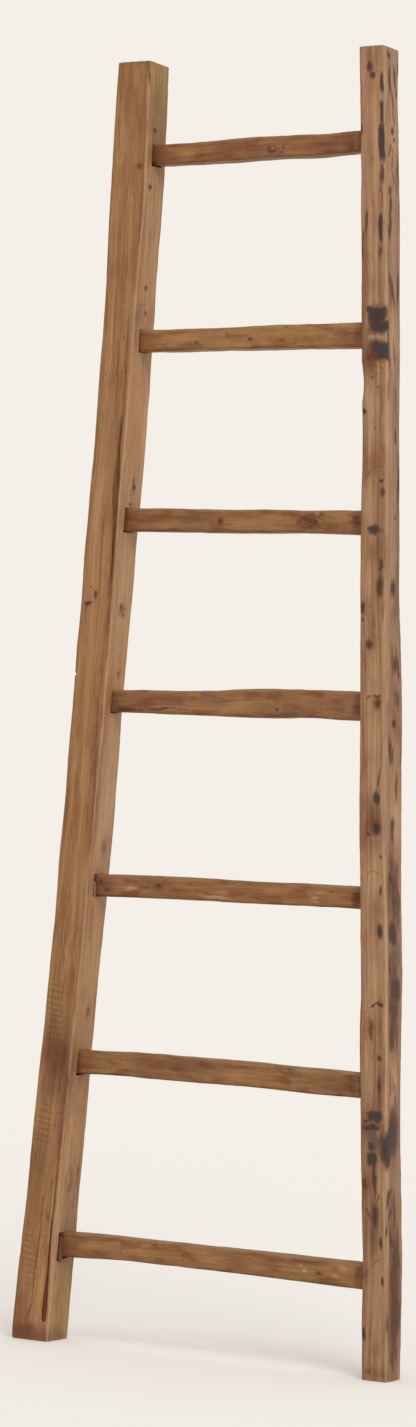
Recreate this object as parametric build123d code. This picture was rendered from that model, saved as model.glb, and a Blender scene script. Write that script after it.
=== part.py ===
# Rustic decorative ladder: two hewn stiles, seven housed rungs and two packing wedges.
from build123d import *
import os

# Overall sizes, in millimetres. X runs across, Y to the wall, Z up; the feet stand on Z = 0.
HEIGHT = 2000.0
FOOT_OUT = 327.0
LEFT_TOP_OUT = 228.0
RIGHT_TOP_OUT = 233.5
BACK_Y = 30.0
LEFT_TOP_STEP = 1.3

# Stiles: nominal section, greatest inward or outward sweep of the outer edge, worn edges.
LEFT_WIDTH = 59.0
LEFT_DEPTH = 60.0
LEFT_SWEEP = 14.0
RIGHT_WIDTH = 43.5
RIGHT_DEPTH = 47.0
RIGHT_SWEEP = 4.5
STILE_ROUND = 4.0
STILE_BACK_BEVEL = 3.0
END_WEAR = 1.5

# The two outlines are read at eleven even steps from foot to top.
LEFT_SWEEP_SHARES = (0, 0.3, 0.55, 0.95, 0.95, 1.0, 0.95, 0.95, 0.93, 0.4, 0)
LEFT_WIDTH_SHARES = (1.12, 1.05, 1.02, 0.95, 1.0, 0.97, 0.99, 1.01, 0.94, 1.03, 0.99)
RIGHT_SWEEP_SHARES = (0, 0.65, 0.2, 1.0, 0.85, 1.0, 0.2, 0.35, 0.65, 0.5, 0)
RIGHT_WIDTH_SHARES = (0.95, 1.01, 1.03, 1.09, 1.09, 1.1, 0.99, 0.92, 0.99, 0.98, 0.98)

# Rungs, counted from the top: level of each, and its height.
RUNG_LEVEL_SHARES = (0.928, 0.782, 0.641, 0.501, 0.3573, 0.2185, 0.076)
RUNG_HEIGHTS = (33.0, 36.0, 35.5, 40.0, 34.5, 37.5, 37.0)
RUNG_DEPTH = 27.0
RUNG_COVER = 12.0
RUNG_ROUND = 5.0

# Each rung wavers: its centre line and its height at six even steps from left to right.
RUNG_RISE_SHARES = (
    (-0.03, -0.04, 0.01, 0.02, -0.01, 0.06),
    (0.01, -0.01, -0.01, 0.01, -0.01, -0.02),
    (0.07, 0.04, 0.01, -0.01, -0.04, -0.07),
    (-0.03, -0.02, -0.02, 0.03, 0.05, 0.01),
    (-0.04, 0, 0.01, -0.01, 0.02, 0.01),
    (-0.03, 0.03, 0.01, 0.03, -0.04, -0.07),
    (-0.04, 0.03, 0.02, 0.02, 0, -0.02),
)
RUNG_HEIGHT_SHARES = (
    (0.95, 0.98, 1.04, 1.02, 0.98, 0.98),
    (0.94, 0.94, 0.96, 1.02, 1.02, 1.07),
    (1.01, 1.02, 1.0, 0.98, 0.98, 1.03),
    (0.86, 0.9, 0.95, 1.1, 1.07, 1.1),
    (0.99, 1.01, 1.0, 0.96, 0.99, 0.98),
    (0.97, 1.0, 1.03, 0.99, 1.02, 0.98),
    (1.01, 0.97, 0.96, 0.99, 1.01, 1.05),
)

# Joints: how far a rung end runs into each stile, its fit, and the worn mouths on the left.
LEFT_TENON = 34.0
RIGHT_TENON = 26.0
FIT = 0.3
MOUTH_DEPTH = 13.0
MOUTH_FRONT_SHARES = (0.19, 0.1, 0.19, 0.1, 0.31, 0.14, 0.57)
MOUTH_DROPS = (4.0, 2.5, 3.5, 2.5, 2.0, 4.0, 8.0)
TOOL_REACH = 40.0

# Packing wedges beside the fifth and the lowest rung, in their left mouths.
MID_WEDGE_RUNG = 4
MID_WEDGE_FILL_SHARE = 0.5
MID_WEDGE_HEIGHT = 24.0
LOW_WEDGE_RUNG = 6
LOW_WEDGE_FILL_SHARE = 0.8
LOW_WEDGE_HEIGHT = 38.0
WEDGE_PROUD = 1.5
WEDGE_THIN_SHARE = 0.6

# Split beside the inner front edge at the left foot, and the long check higher up.
SPLIT_HEIGHTS = (26.0, 45.0, 120.0, 215.0)
SPLIT_OFFSETS = (9.0, 8.5, 7.5, 6.0)
SPLIT_WIDTHS = (5.0, 6.0, 4.5, 1.5)
SPLIT_DEPTH_SHARE = 0.75
CHECK_HEIGHTS = (1185.0, 1245.0, 1300.0, 1355.0, 1375.0, 1441.0)
CHECK_OFFSETS = (7.5, 7.0, 10.0, 10.0, 8.5, 6.5)
CHECK_WIDTHS = (1.2, 3.0, 10.0, 9.0, 3.5, 1.2)
CHECK_DEPTH = 5.0

# Small losses: a nick on the left outer edge, a dent on the right inner edge, two knot hollows.
NICK_LEVEL = 1041.0
NICK_HEIGHT = 7.0
NICK_BITE = 4.0
NICK_RUN = 9.0
DENT_LEVEL = 1490.0
DENT_LENGTH = 60.0
DENT_BITE = 3.0
KNOT_LEVELS = (1585.0, 820.0)
KNOT_RADII = (14.0, 8.0)
KNOT_DEPTHS = (4.0, 3.0)
KNOT_WIDTH_SHARES = (0.62, 0.55)

LEFT_FRONT_Y = BACK_Y - LEFT_DEPTH
RIGHT_FRONT_Y = BACK_Y - RIGHT_DEPTH
RUNG_BACK_Y = BACK_Y - RUNG_COVER
RUNG_FRONT_Y = RUNG_BACK_Y - RUNG_DEPTH


def step_value(shares, level):
    """Value of a row of even steps at a height, straight between two steps."""
    last = len(shares) - 1
    place = min(max(level / HEIGHT, 0), 1) * last
    below = min(int(place), last - 1)
    return shares[below] + (shares[below + 1] - shares[below]) * (place - below)


def left_outer(level):
    line = -FOOT_OUT + (FOOT_OUT - LEFT_TOP_OUT) * level / HEIGHT
    return line + LEFT_SWEEP * step_value(LEFT_SWEEP_SHARES, level)


def left_inner(level):
    return left_outer(level) + LEFT_WIDTH * step_value(LEFT_WIDTH_SHARES, level)


def right_outer(level):
    line = FOOT_OUT - (FOOT_OUT - RIGHT_TOP_OUT) * level / HEIGHT
    return line + RIGHT_SWEEP * step_value(RIGHT_SWEEP_SHARES, level)


def right_inner(level):
    return right_outer(level) - RIGHT_WIDTH * step_value(RIGHT_WIDTH_SHARES, level)


def stile(outer, inner, depth, top):
    """A stile: a curved outline cut from the plank, its long edges rounded and its ends bevelled."""
    steps = len(LEFT_SWEEP_SHARES) - 1
    levels = [END_WEAR + (top - 2 * END_WEAR) * step / steps for step in range(steps + 1)]
    outer_points = [(outer(level), BACK_Y, level) for level in levels]
    inner_points = [(inner(level), BACK_Y, level) for level in levels]
    bevel = END_WEAR if inner(top) > outer(top) else -END_WEAR
    crown = ((outer(top) + bevel, BACK_Y, top), (inner(top) - bevel, BACK_Y, top))
    base = ((outer(0) + bevel, BACK_Y, 0), (inner(0) - bevel, BACK_Y, 0))
    outline = [
        Spline(*outer_points),
        Polyline(outer_points[-1], *crown, inner_points[-1]),
        Spline(*inner_points),
        Polyline(outer_points[0], *base, inner_points[0]),
    ]
    body = extrude(make_face(outline), amount=depth, dir=(0, -1, 0))
    long_edges = ShapeList(e for e in body.edges() if e.bounding_box().size.Z > top / 2)
    body = fillet(long_edges.sort_by(Axis.Y)[:2], STILE_ROUND)
    long_edges = ShapeList(e for e in body.edges() if e.bounding_box().size.Z > top / 2)
    return chamfer(long_edges.sort_by(Axis.Y)[-2:], STILE_BACK_BEVEL)


def rung_level(index):
    return HEIGHT * RUNG_LEVEL_SHARES[index]


def rung_edge(index, step, side):
    """Height of the upper (side = 1) or lower (side = -1) edge of a rung at one of its steps."""
    tall = RUNG_HEIGHTS[index]
    centre = rung_level(index) + tall * RUNG_RISE_SHARES[index][step]
    return centre + side * tall * RUNG_HEIGHT_SHARES[index][step] / 2


def rung_section(x, low, high):
    """Cross-section of a rung: a rectangle with worn corners, square to the rung's length."""
    middle = (x, (RUNG_FRONT_Y + RUNG_BACK_Y) / 2, (low + high) / 2)
    across = Plane(origin=middle, x_dir=(0, 1, 0), z_dir=(1, 0, 0))
    return across * RectangleRounded(RUNG_DEPTH, high - low, RUNG_ROUND)


def rung(index):
    """A hewn rung: lofted from section to section, running straight into both mortises."""
    level = rung_level(index)
    steps = len(RUNG_RISE_SHARES[index]) - 1
    start = left_inner(level)
    end = right_inner(level)
    stations = [(start + (end - start) * step / steps, step) for step in range(steps + 1)]
    stations.insert(0, (start - LEFT_TENON, 0))
    stations.append((end + RIGHT_TENON, steps))
    sections = []
    for x, step in stations:
        sections.append(rung_section(x, rung_edge(index, step, -1), rung_edge(index, step, 1)))
    return loft(sections, ruled=True)


def block(x_low, x_high, y_low, y_high, z_low, z_high):
    """A rectangular block between two opposite corners."""
    middle = Pos((x_low + x_high) / 2, (y_low + y_high) / 2, (z_low + z_high) / 2)
    return middle * Box(x_high - x_low, y_high - y_low, z_high - z_low)


def mouth_gap(index):
    """How far a worn left mouth opens in front of its rung."""
    return (RUNG_FRONT_Y - LEFT_FRONT_Y) * MOUTH_FRONT_SHARES[index]


def left_mortise(index):
    face = left_inner(rung_level(index))
    low = rung_edge(index, 0, -1) - FIT
    high = rung_edge(index, 0, 1) + FIT
    front = RUNG_FRONT_Y - FIT
    back = RUNG_BACK_Y + FIT
    socket = block(face - LEFT_TENON - FIT, face + TOOL_REACH, front, back, low, high)
    worn_front = RUNG_FRONT_Y - mouth_gap(index)
    worn_low = low + FIT - MOUTH_DROPS[index]
    mouth = block(face - MOUTH_DEPTH, face + TOOL_REACH, worn_front, back, worn_low, high)
    return [socket, mouth]


def right_mortise(index):
    face = right_inner(rung_level(index))
    low = rung_edge(index, -1, -1) - FIT
    high = rung_edge(index, -1, 1) + FIT
    front = RUNG_FRONT_Y - FIT
    back = RUNG_BACK_Y + FIT
    return block(face - TOOL_REACH, face + RIGHT_TENON + FIT, front, back, low, high)


def opened_grain(heights, offsets, widths, depth):
    """A split that follows the inner front edge of the left stile, cut in from the front."""
    near = []
    far = []
    for height, offset, width in zip(heights, offsets, widths):
        middle = left_inner(height) - offset
        near.append((middle + width / 2, LEFT_FRONT_Y, height))
        far.append((middle - width / 2, LEFT_FRONT_Y, height))
    outline = Polyline(*near, *reversed(far), close=True)
    return extrude(make_face(outline), amount=depth, dir=(0, 1, 0))


def nick():
    """A three-sided nick across the outer front edge of the left stile."""
    edge = left_outer(NICK_LEVEL)
    corners = [
        (edge + NICK_BITE, LEFT_FRONT_Y, NICK_LEVEL),
        (edge - NICK_BITE, LEFT_FRONT_Y, NICK_LEVEL + NICK_HEIGHT),
        (edge - NICK_BITE, LEFT_FRONT_Y, NICK_LEVEL - NICK_HEIGHT),
    ]
    return extrude(make_face(Polyline(*corners, close=True)), amount=NICK_RUN, dir=(0, 1, 0))


def dent():
    """A long shallow hollow in the inner edge of the right stile."""
    radius = (DENT_LENGTH ** 2 / 4 + DENT_BITE ** 2) / (2 * DENT_BITE)
    centre_x = right_inner(DENT_LEVEL) + DENT_BITE - radius
    turned = Pos(centre_x, RIGHT_FRONT_Y, DENT_LEVEL) * Rot(X=90)
    return turned * Cylinder(radius, RIGHT_DEPTH)


def knot_hollow(index):
    """A dished knot on the front of the right stile."""
    radius = KNOT_RADII[index]
    depth = KNOT_DEPTHS[index]
    level = KNOT_LEVELS[index]
    ball = (radius ** 2 + depth ** 2) / (2 * depth)
    reach = (right_outer(level) - right_inner(level)) * KNOT_WIDTH_SHARES[index]
    return Pos(right_inner(level) + reach, RIGHT_FRONT_Y + depth - ball, level) * Sphere(ball)


def wedge(index, fill, tall):
    """A tapered packing wedge driven in beside the front of a rung, thin end first."""
    thick = mouth_gap(index) * fill
    face = left_inner(rung_level(index)) + WEDGE_PROUD
    tip = left_inner(rung_level(index)) - MOUTH_DEPTH + FIT
    low = rung_edge(index, 0, -1) - MOUTH_DROPS[index] + FIT
    back = RUNG_FRONT_Y - FIT
    corners = [
        (face, back, low),
        (face, back - thick, low),
        (tip, back - thick * WEDGE_THIN_SHARE, low),
        (tip, back, low),
    ]
    return extrude(make_face(Polyline(*corners, close=True)), amount=tall, dir=(0, 0, 1))


rungs = range(len(RUNG_HEIGHTS))

stile_left = stile(left_outer, left_inner, LEFT_DEPTH, HEIGHT - LEFT_TOP_STEP)
for place in rungs:
    stile_left = stile_left - left_mortise(place)
split_depth = (RUNG_FRONT_Y - LEFT_FRONT_Y - mouth_gap(LOW_WEDGE_RUNG)) * SPLIT_DEPTH_SHARE
stile_left = stile_left - opened_grain(SPLIT_HEIGHTS, SPLIT_OFFSETS, SPLIT_WIDTHS, split_depth)
stile_left = stile_left - opened_grain(CHECK_HEIGHTS, CHECK_OFFSETS, CHECK_WIDTHS, CHECK_DEPTH)
stile_left = stile_left - nick()

stile_right = stile(right_outer, right_inner, RIGHT_DEPTH, HEIGHT) - dent()
for place in rungs:
    stile_right = stile_right - right_mortise(place)
for place in range(len(KNOT_LEVELS)):
    stile_right = stile_right - knot_hollow(place)

pieces = {"stile_left": stile_left, "stile_right": stile_right}
for place in rungs:
    pieces["rung_" + str(place + 1)] = rung(place)
pieces["wedge_mid"] = wedge(MID_WEDGE_RUNG, MID_WEDGE_FILL_SHARE, MID_WEDGE_HEIGHT)
pieces["wedge_low"] = wedge(LOW_WEDGE_RUNG, LOW_WEDGE_FILL_SHARE, LOW_WEDGE_HEIGHT)

os.makedirs("parts", exist_ok=True)
for name, piece in pieces.items():
    export_step(piece, "parts/" + name + ".step")
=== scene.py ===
# Rustic wooden ladder: dense hewn bars over the fixed frame, aged wood, and a pale studio.
import math

import bmesh
import bpy
import numpy as np
from mathutils import Matrix, Vector


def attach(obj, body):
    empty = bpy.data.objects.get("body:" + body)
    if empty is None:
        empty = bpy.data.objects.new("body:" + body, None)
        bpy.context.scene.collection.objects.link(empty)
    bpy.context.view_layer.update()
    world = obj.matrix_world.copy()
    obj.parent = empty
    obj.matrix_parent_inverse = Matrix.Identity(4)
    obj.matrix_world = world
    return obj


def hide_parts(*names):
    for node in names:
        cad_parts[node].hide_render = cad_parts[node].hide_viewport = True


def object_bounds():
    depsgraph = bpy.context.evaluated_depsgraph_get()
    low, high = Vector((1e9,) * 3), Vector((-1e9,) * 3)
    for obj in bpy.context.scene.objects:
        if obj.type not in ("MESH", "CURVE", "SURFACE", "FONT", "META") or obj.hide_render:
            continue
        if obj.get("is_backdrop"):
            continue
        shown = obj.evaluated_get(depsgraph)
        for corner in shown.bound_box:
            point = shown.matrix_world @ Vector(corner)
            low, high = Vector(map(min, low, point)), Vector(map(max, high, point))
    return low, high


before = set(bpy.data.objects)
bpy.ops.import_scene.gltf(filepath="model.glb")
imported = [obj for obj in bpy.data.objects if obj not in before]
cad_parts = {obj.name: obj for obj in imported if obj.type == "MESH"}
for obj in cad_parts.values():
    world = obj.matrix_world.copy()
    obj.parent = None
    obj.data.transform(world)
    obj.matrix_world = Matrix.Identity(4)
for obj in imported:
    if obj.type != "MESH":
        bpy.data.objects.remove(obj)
cad_low, cad_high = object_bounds()

MM = 0.001
BOX_LOW, BOX_HIGH = (np.array(v) / MM for v in (cad_low, cad_high))

# Camera, fitted to the photograph
PHOTO_W, PHOTO_H = 416, 1427
CAMERA_AT = Vector((2.9521, -5.1364, 0.8455))
YAW, PITCH, ROLL = math.radians(30.18), math.radians(-1.35), math.radians(2.34)
FOCAL_PX = 3861.4
SENSOR_MM = 36

level_right = Vector((math.cos(YAW), math.sin(YAW), 0))
FORWARD = Vector((-math.sin(YAW) * math.cos(PITCH), math.cos(YAW) * math.cos(PITCH), -math.sin(PITCH)))
level_up = level_right.cross(FORWARD)
RIGHT = math.cos(ROLL) * level_right + math.sin(ROLL) * level_up
UP = -math.sin(ROLL) * level_right + math.cos(ROLL) * level_up

camera_data = bpy.data.cameras.new("camera")
camera_data.sensor_width = SENSOR_MM
camera_data.lens = FOCAL_PX / PHOTO_H * SENSOR_MM
camera = bpy.data.objects.new("camera", camera_data)
bpy.context.collection.objects.link(camera)
turn = Matrix((RIGHT, UP, -FORWARD)).transposed()
camera.matrix_world = Matrix.Translation(CAMERA_AT) @ turn.to_4x4()
bpy.context.scene.camera = camera


def ray(px, py):
    """Direction from the camera through a place in the photograph."""
    return FORWARD + RIGHT * ((px - PHOTO_W / 2) / FOCAL_PX) + UP * ((PHOTO_H / 2 - py) / FOCAL_PX)


# Shapes, in millimetres
HEIGHT = 2000.0
FOOT_OUT = 327.0
LEFT_TOP_OUT = 228.0
RIGHT_TOP_OUT = 233.5
LEFT_TOP = 1998.7
BACK_Y = 30.0
LEFT_FRONT_Y = -30.0
RIGHT_FRONT_Y = -17.0
RUNG_FRONT_Y = -9.0
RUNG_BACK_Y = 18.0
LEFT_BOW, LEFT_WIDE = 14.0, 59.0
RIGHT_BOW, RIGHT_WIDE = 4.5, 43.5
LEFT_SWEEP = [0, 0.3, 0.55, 0.95, 0.95, 1.0, 0.95, 0.95, 0.93, 0.4, 0]
LEFT_WIDTHS = [1.12, 1.05, 1.02, 0.95, 1.0, 0.97, 0.99, 1.01, 0.94, 1.03, 0.99]
RIGHT_SWEEP = [0, 0.65, 0.2, 1.0, 0.85, 1.0, 0.2, 0.35, 0.65, 0.5, 0]
RIGHT_WIDTHS = [0.95, 1.01, 1.03, 1.09, 1.09, 1.1, 0.99, 0.92, 0.99, 0.98, 0.98]
RUNG_LEVELS = [HEIGHT * s for s in (0.928, 0.782, 0.641, 0.501, 0.3573, 0.2185, 0.076)]
RUNG_HEIGHTS = [33.0, 36.0, 35.5, 40.0, 34.5, 37.5, 37.0]
RUNG_RISES = [
    [-0.03, -0.04, 0.01, 0.02, -0.01, 0.06],
    [0.01, -0.01, -0.01, 0.01, -0.01, -0.02],
    [0.07, 0.04, 0.01, -0.01, -0.04, -0.07],
    [-0.03, -0.02, -0.02, 0.03, 0.05, 0.01],
    [-0.04, 0, 0.01, -0.01, 0.02, 0.01],
    [-0.03, 0.03, 0.01, 0.03, -0.04, -0.07],
    [-0.04, 0.03, 0.02, 0.02, 0, -0.02],
]
RUNG_TALLS = [
    [0.95, 0.98, 1.04, 1.02, 0.98, 0.98],
    [0.94, 0.94, 0.96, 1.02, 1.02, 1.07],
    [1.01, 1.02, 1.0, 0.98, 0.98, 1.03],
    [0.86, 0.9, 0.95, 1.1, 1.07, 1.1],
    [0.99, 1.01, 1.0, 0.96, 0.99, 0.98],
    [0.97, 1.0, 1.03, 0.99, 1.02, 0.98],
    [1.01, 0.97, 0.96, 0.99, 1.01, 1.05],
]
LEFT_LEAN_AT = [0, 133, 273, 436, 638, 837, 970, 1169, 1321, 1564, 1804, 2000]
LEFT_LEAN = [0, 1.3, 2.2, 1.6, -0.9, 0.7, -2.7, -2.2, 2.9, -0.7, -2.2, 0]
RIGHT_LEAN_AT = [0, 401, 534, 652, 772, 862, 952, 1101, 1160, 1221, 1462, 1615, 1905, 2000]
RIGHT_LEAN = [0, -1.4, 1.0, 2.8, 5.0, 10.0, 8.0, 4.0, 0.0, -4.2, -3.6, -1.4, 0, 0]
LEFT_TENON, RIGHT_TENON, FIT = 34.0, 26.0, 0.3
MOUTH_DEPTH = 13.0
MOUTH_GAPS = [4.0, 2.1, 4.0, 2.1, 6.5, 2.9, 12.0]
MOUTH_DROPS = [4.0, 2.5, 3.5, 2.5, 2.0, 4.0, 8.0]
NICK_LEVEL, NICK_HEIGHT, NICK_BITE, NICK_RUN = 1041.0, 7.0, 4.0, 9.0
DENT_LEVEL, DENT_LENGTH, DENT_BITE = 1490.0, 60.0, 3.0
KNOT_HOLLOWS = [(1585.0, 14.0, 4.0, 0.62), (820.0, 8.0, 3.0, 0.55)]
STILE_ROWS, RUNG_ROWS = 900, 260
LEFT_CORNERS, LEFT_CORNER_SPREAD = (3.0, 3.0, 3.6, 1.8), 0.6
RIGHT_CORNERS, RIGHT_CORNER_SPREAD = (3.0, 3.0, 3.2, 1.4), 0.55
RUNG_CORNER, RUNG_CORNER_SPREAD, SMALLEST_CORNER = 4.2, 1.6, 0.8
LEFT_CORNER_CELLS, RIGHT_CORNER_CELLS, RUNG_CORNER_CELLS = 26, 30, 10
LEFT_STEPS, RIGHT_STEPS, RUNG_STEPS = (10, 34, 30, 14), (10, 28, 28, 12), (8, 18, 8, 10)
RUNG_ARC_STEPS, RUNG_BEVEL = 5, 1.0
FOOT_WEAR, FOOT_WEAR_RISE = 5.0, 7.0
STILE_HEWN, RUNG_HEWN = 0.8, 1.0
STILE_HEWING = [(0.9, 24, 9), (0.45, 70, 22), (0.22, 190, 40)]
RUNG_HEWING = [(0.6, 7, 8), (0.35, 22, 16), (0.15, 60, 30)]
STREAK_WIDEN = 1.3
# How much the upper front corner of a rung is darkened
RUNG_FRONT_DARKNESS = 0.5


def ease(share):
    """Smooth step of shares from 0 to 1."""
    return share * share * (3 - 2 * share)


def along(values, place):
    """Smooth value of a row of even steps at places from 0 to 1."""
    values = np.asarray(values, float)
    last = len(values) - 1
    x = np.clip(np.asarray(place, float), 0, 1) * last
    k = np.minimum(x.astype(int), last - 1)
    t = x - k
    before = values[np.maximum(k - 1, 0)]
    a, b = values[k], values[k + 1]
    after = values[np.minimum(k + 2, last)]
    bend = 2 * before - 5 * a + 4 * b - after + t * (3 * (a - b) + after - before)
    return a + 0.5 * t * (b - before + t * bend)


def left_outer(z):
    z = np.asarray(z, float)
    return -FOOT_OUT + (FOOT_OUT - LEFT_TOP_OUT) * z / HEIGHT + LEFT_BOW * along(LEFT_SWEEP, z / HEIGHT)


def left_inner(z):
    return left_outer(z) + LEFT_WIDE * along(LEFT_WIDTHS, np.asarray(z, float) / HEIGHT)


def right_outer(z):
    z = np.asarray(z, float)
    return FOOT_OUT - (FOOT_OUT - RIGHT_TOP_OUT) * z / HEIGHT + RIGHT_BOW * along(RIGHT_SWEEP, z / HEIGHT)


def right_inner(z):
    return right_outer(z) - RIGHT_WIDE * along(RIGHT_WIDTHS, np.asarray(z, float) / HEIGHT)


def left_ridge(z):
    """Where the left stile's front corner really runs: it twists a little about its inner face."""
    return left_inner(z) - np.interp(z, LEFT_LEAN_AT, LEFT_LEAN)


def right_ridge(z):
    return right_outer(z) - np.interp(z, RIGHT_LEAN_AT, RIGHT_LEAN)


def rung_span(index):
    return float(left_inner(RUNG_LEVELS[index])), float(right_inner(RUNG_LEVELS[index]))


def rung_edge(index, x, side):
    """Height of a rung's upper (side 1) or lower (side -1) edge at a place along it."""
    start, end = rung_span(index)
    place = (np.asarray(x, float) - start) / (end - start)
    tall = RUNG_HEIGHTS[index]
    centre = RUNG_LEVELS[index] + tall * along(RUNG_RISES[index], place)
    return centre + side * tall * along(RUNG_TALLS[index], place) / 2


def field(seed, rows, columns, row_cells, column_cells):
    """Smooth seeded noise from -1 to 1 over a grid, closed around the columns."""
    dice = np.random.default_rng(seed)
    base = dice.uniform(-1, 1, (row_cells + 2, column_cells))
    base = np.concatenate([base, base[:, :2]], axis=1)
    r = np.linspace(0, row_cells, rows)
    c = np.arange(columns) / columns * column_cells
    ri, ci = np.minimum(r.astype(int), row_cells), c.astype(int)
    rt, ct = ease(r - ri)[:, None], ease(c - ci)[None, :]
    top = base[ri][:, ci] * (1 - ct) + base[ri][:, ci + 1] * ct
    low = base[ri + 1][:, ci] * (1 - ct) + base[ri + 1][:, ci + 1] * ct
    return top * (1 - rt) + low * rt


def bar(name, t, p0, p1, q0, q1, radii, place, relief, lean, sides, arc=6, bevel=0.8):
    """A closed bar of rounded rectangular sections, drawn as a dense skin.

    t runs along it; p0..p1 and q0..q1 bound each section; place(p, q, t) gives the point.
    lean moves the p1, q0 corner back along p, and sides counts the steps on the p0, q0, p1
    and q1 sides. arc counts the steps round a corner, and bevel is the chamfer at both ends.
    The map's U is the way round from the p1, q0 corner and V is t, both in metres.
    """
    t = np.concatenate([[t[0]], [t[0] + bevel], t[1:-1], [t[-1] - bevel], [t[-1]]])
    rows = len(t)

    def grow(values):
        values = np.broadcast_to(np.asarray(values, float), rows - 2)
        return np.concatenate([[values[0]], values, [values[-1]]])

    p0, p1, q0, q1, lean = (grow(v) for v in (p0, p1, q0, q1, lean))
    ra, rb, rc, rd = (grow(v) for v in radii)
    for v, sign in ((p0, 1), (p1, -1), (q0, 1), (q1, -1)):
        v[0] += sign * bevel
        v[-1] += sign * bevel
    w, d = p1 - p0, q1 - q0
    cols = []

    def side(pa, qa, pb, qb, ua, ub, n, normal):
        for k in range(n):
            s = k / n
            cols.append((pa + (pb - pa) * s, qa + (qb - qa) * s, ua + (ub - ua) * s, normal))

    def corner(pc, qc, r, start, u_mid):
        for k in range(arc):
            angle = start + math.pi / 2 * k / arc
            n = (math.cos(angle), math.sin(angle))
            cols.append((pc + r * n[0], qc + r * n[1], u_mid + r * (2 * k / arc - 1), n))

    side(p0, q1 - ra, p0, q0 + rb, -w - d + ra, -w - rb, sides[0], (-1, 0))
    corner(p0 + rb, q0 + rb, rb, math.pi, -w)
    side(p0 + rb, q0, p1 - rc, q0, -w + rb, -rc, sides[1], (0, -1))
    corner(p1 - rc, q0 + rc, rc, 1.5 * math.pi, 0 * w)
    side(p1, q0 + rc, p1, q1 - rd, rc, d - rd, sides[2], (1, 0))
    corner(p1 - rd, q1 - rd, rd, 0, d)
    side(p1 - rd, q1, p0 + ra, q1, d + rd, d + w - ra, sides[3], (0, 1))
    corner(p0 + ra, q1 - ra, ra, math.pi / 2, d + w)
    m = len(cols)
    push = relief(rows, m)
    verts = np.zeros((rows, m, 3))
    us = np.zeros((rows, m + 1))
    for j, (p, q, u, n) in enumerate(cols):
        p = p - lean * (p - p0) / w * (1 - (q - q0) / d)
        verts[:, j] = np.stack(place(p + n[0] * push[:, j], q + n[1] * push[:, j], t), axis=1)
        us[:, j] = u
    us[:, m] = w + d + ra
    verts = np.clip(verts, BOX_LOW, BOX_HIGH)
    bm = bmesh.new()
    uv = bm.loops.layers.uv.new("map")
    made = [[bm.verts.new(verts[i, j] * MM) for j in range(m)] for i in range(rows)]
    for i in range(rows - 1):
        for j in range(m):
            k = (j + 1) % m
            face = bm.faces.new((made[i][j], made[i][k], made[i + 1][k], made[i + 1][j]))
            spread = ((us[i, j], t[i]), (us[i, j + 1], t[i]),
                      (us[i + 1, j + 1], t[i + 1]), (us[i + 1, j], t[i + 1]))
            for loop, (u, v) in zip(face.loops, spread):
                loop[uv].uv = (u * MM, v * MM)
    for i in (0, rows - 1):
        centre = bm.verts.new(verts[i].mean(axis=0) * MM)
        for j in range(m):
            face = bm.faces.new((made[i][j], made[i][(j + 1) % m], centre))
            face.material_index = 1
    bmesh.ops.recalc_face_normals(bm, faces=bm.faces)
    mesh = bpy.data.meshes.new(name)
    bm.to_mesh(mesh)
    bm.free()
    piece = bpy.data.objects.new(name, mesh)
    bpy.context.collection.objects.link(piece)
    return piece


def prism(bm, outline, low, high, axis):
    """Adds a closed solid from a flat outline; axis 1 pushes it along Y, 0 along X."""
    rings = []
    for depth in (low, high):
        places = [(a, depth, b) if axis == 1 else (depth, a, b) for a, b in outline]
        rings.append([bm.verts.new(Vector(place) * MM) for place in places])
    n = len(outline)
    for k in range(n):
        bm.faces.new((rings[0][k], rings[0][(k + 1) % n], rings[1][(k + 1) % n], rings[1][k]))
    bm.faces.new(rings[0])
    bm.faces.new(rings[1])


def carve(piece, cutter, *inside):
    """Cuts closed solids out of a piece; the fresh faces take the inside materials."""
    bmesh.ops.recalc_face_normals(cutter, faces=cutter.faces)
    mesh = bpy.data.meshes.new("cutter")
    cutter.to_mesh(mesh)
    cutter.free()
    for material in inside:
        mesh.materials.append(material)
    tool = bpy.data.objects.new("tool", mesh)
    bpy.context.collection.objects.link(tool)
    cut = piece.modifiers.new("cut", "BOOLEAN")
    cut.operation = "DIFFERENCE"
    cut.solver = "EXACT"
    cut.material_mode = "TRANSFER"
    cut.object = tool
    bpy.context.view_layer.update()
    ready = bpy.data.meshes.new_from_object(piece.evaluated_get(bpy.context.evaluated_depsgraph_get()))
    piece.modifiers.clear()
    piece.data = ready
    bpy.data.objects.remove(tool)


def crisp(piece, degrees=34):
    """Marks the sharp edges, so that cut mouths stay crisp beside the worn corners."""
    bm = bmesh.new()
    bm.from_mesh(piece.data)
    for edge in bm.edges:
        edge.smooth = len(edge.link_faces) == 2 and edge.calc_face_angle(0) < math.radians(degrees)
    for face in bm.faces:
        face.smooth = True
    bm.to_mesh(piece.data)
    bm.free()


def hewn(seed, layers, amount):
    """Unevenness of the faces from layers of (height, cells along, cells round)."""
    def relief(rows, columns):
        push = 0
        for k, (tall, row_cells, column_cells) in enumerate(layers):
            push = push + tall * field(seed + k, rows, columns, row_cells, column_cells)
        return push * amount
    return relief


def dish(piece, x, level, radius, deep):
    """Presses a shallow hollow into the front of the right stile."""
    for vertex in piece.data.vertices:
        away = math.hypot(vertex.co.x / MM - x, vertex.co.z / MM - level) / radius
        if away < 1 and vertex.co.y / MM < RIGHT_FRONT_Y + deep:
            vertex.co.y += deep * MM * (1 - away * away) ** 1.5


def worn(seed, rows, usual, spread, cells):
    """A corner radius that wanders along a bar."""
    return np.maximum(usual + spread * field(seed, rows, 1, cells, 3)[:, 0], SMALLEST_CORNER)


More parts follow.
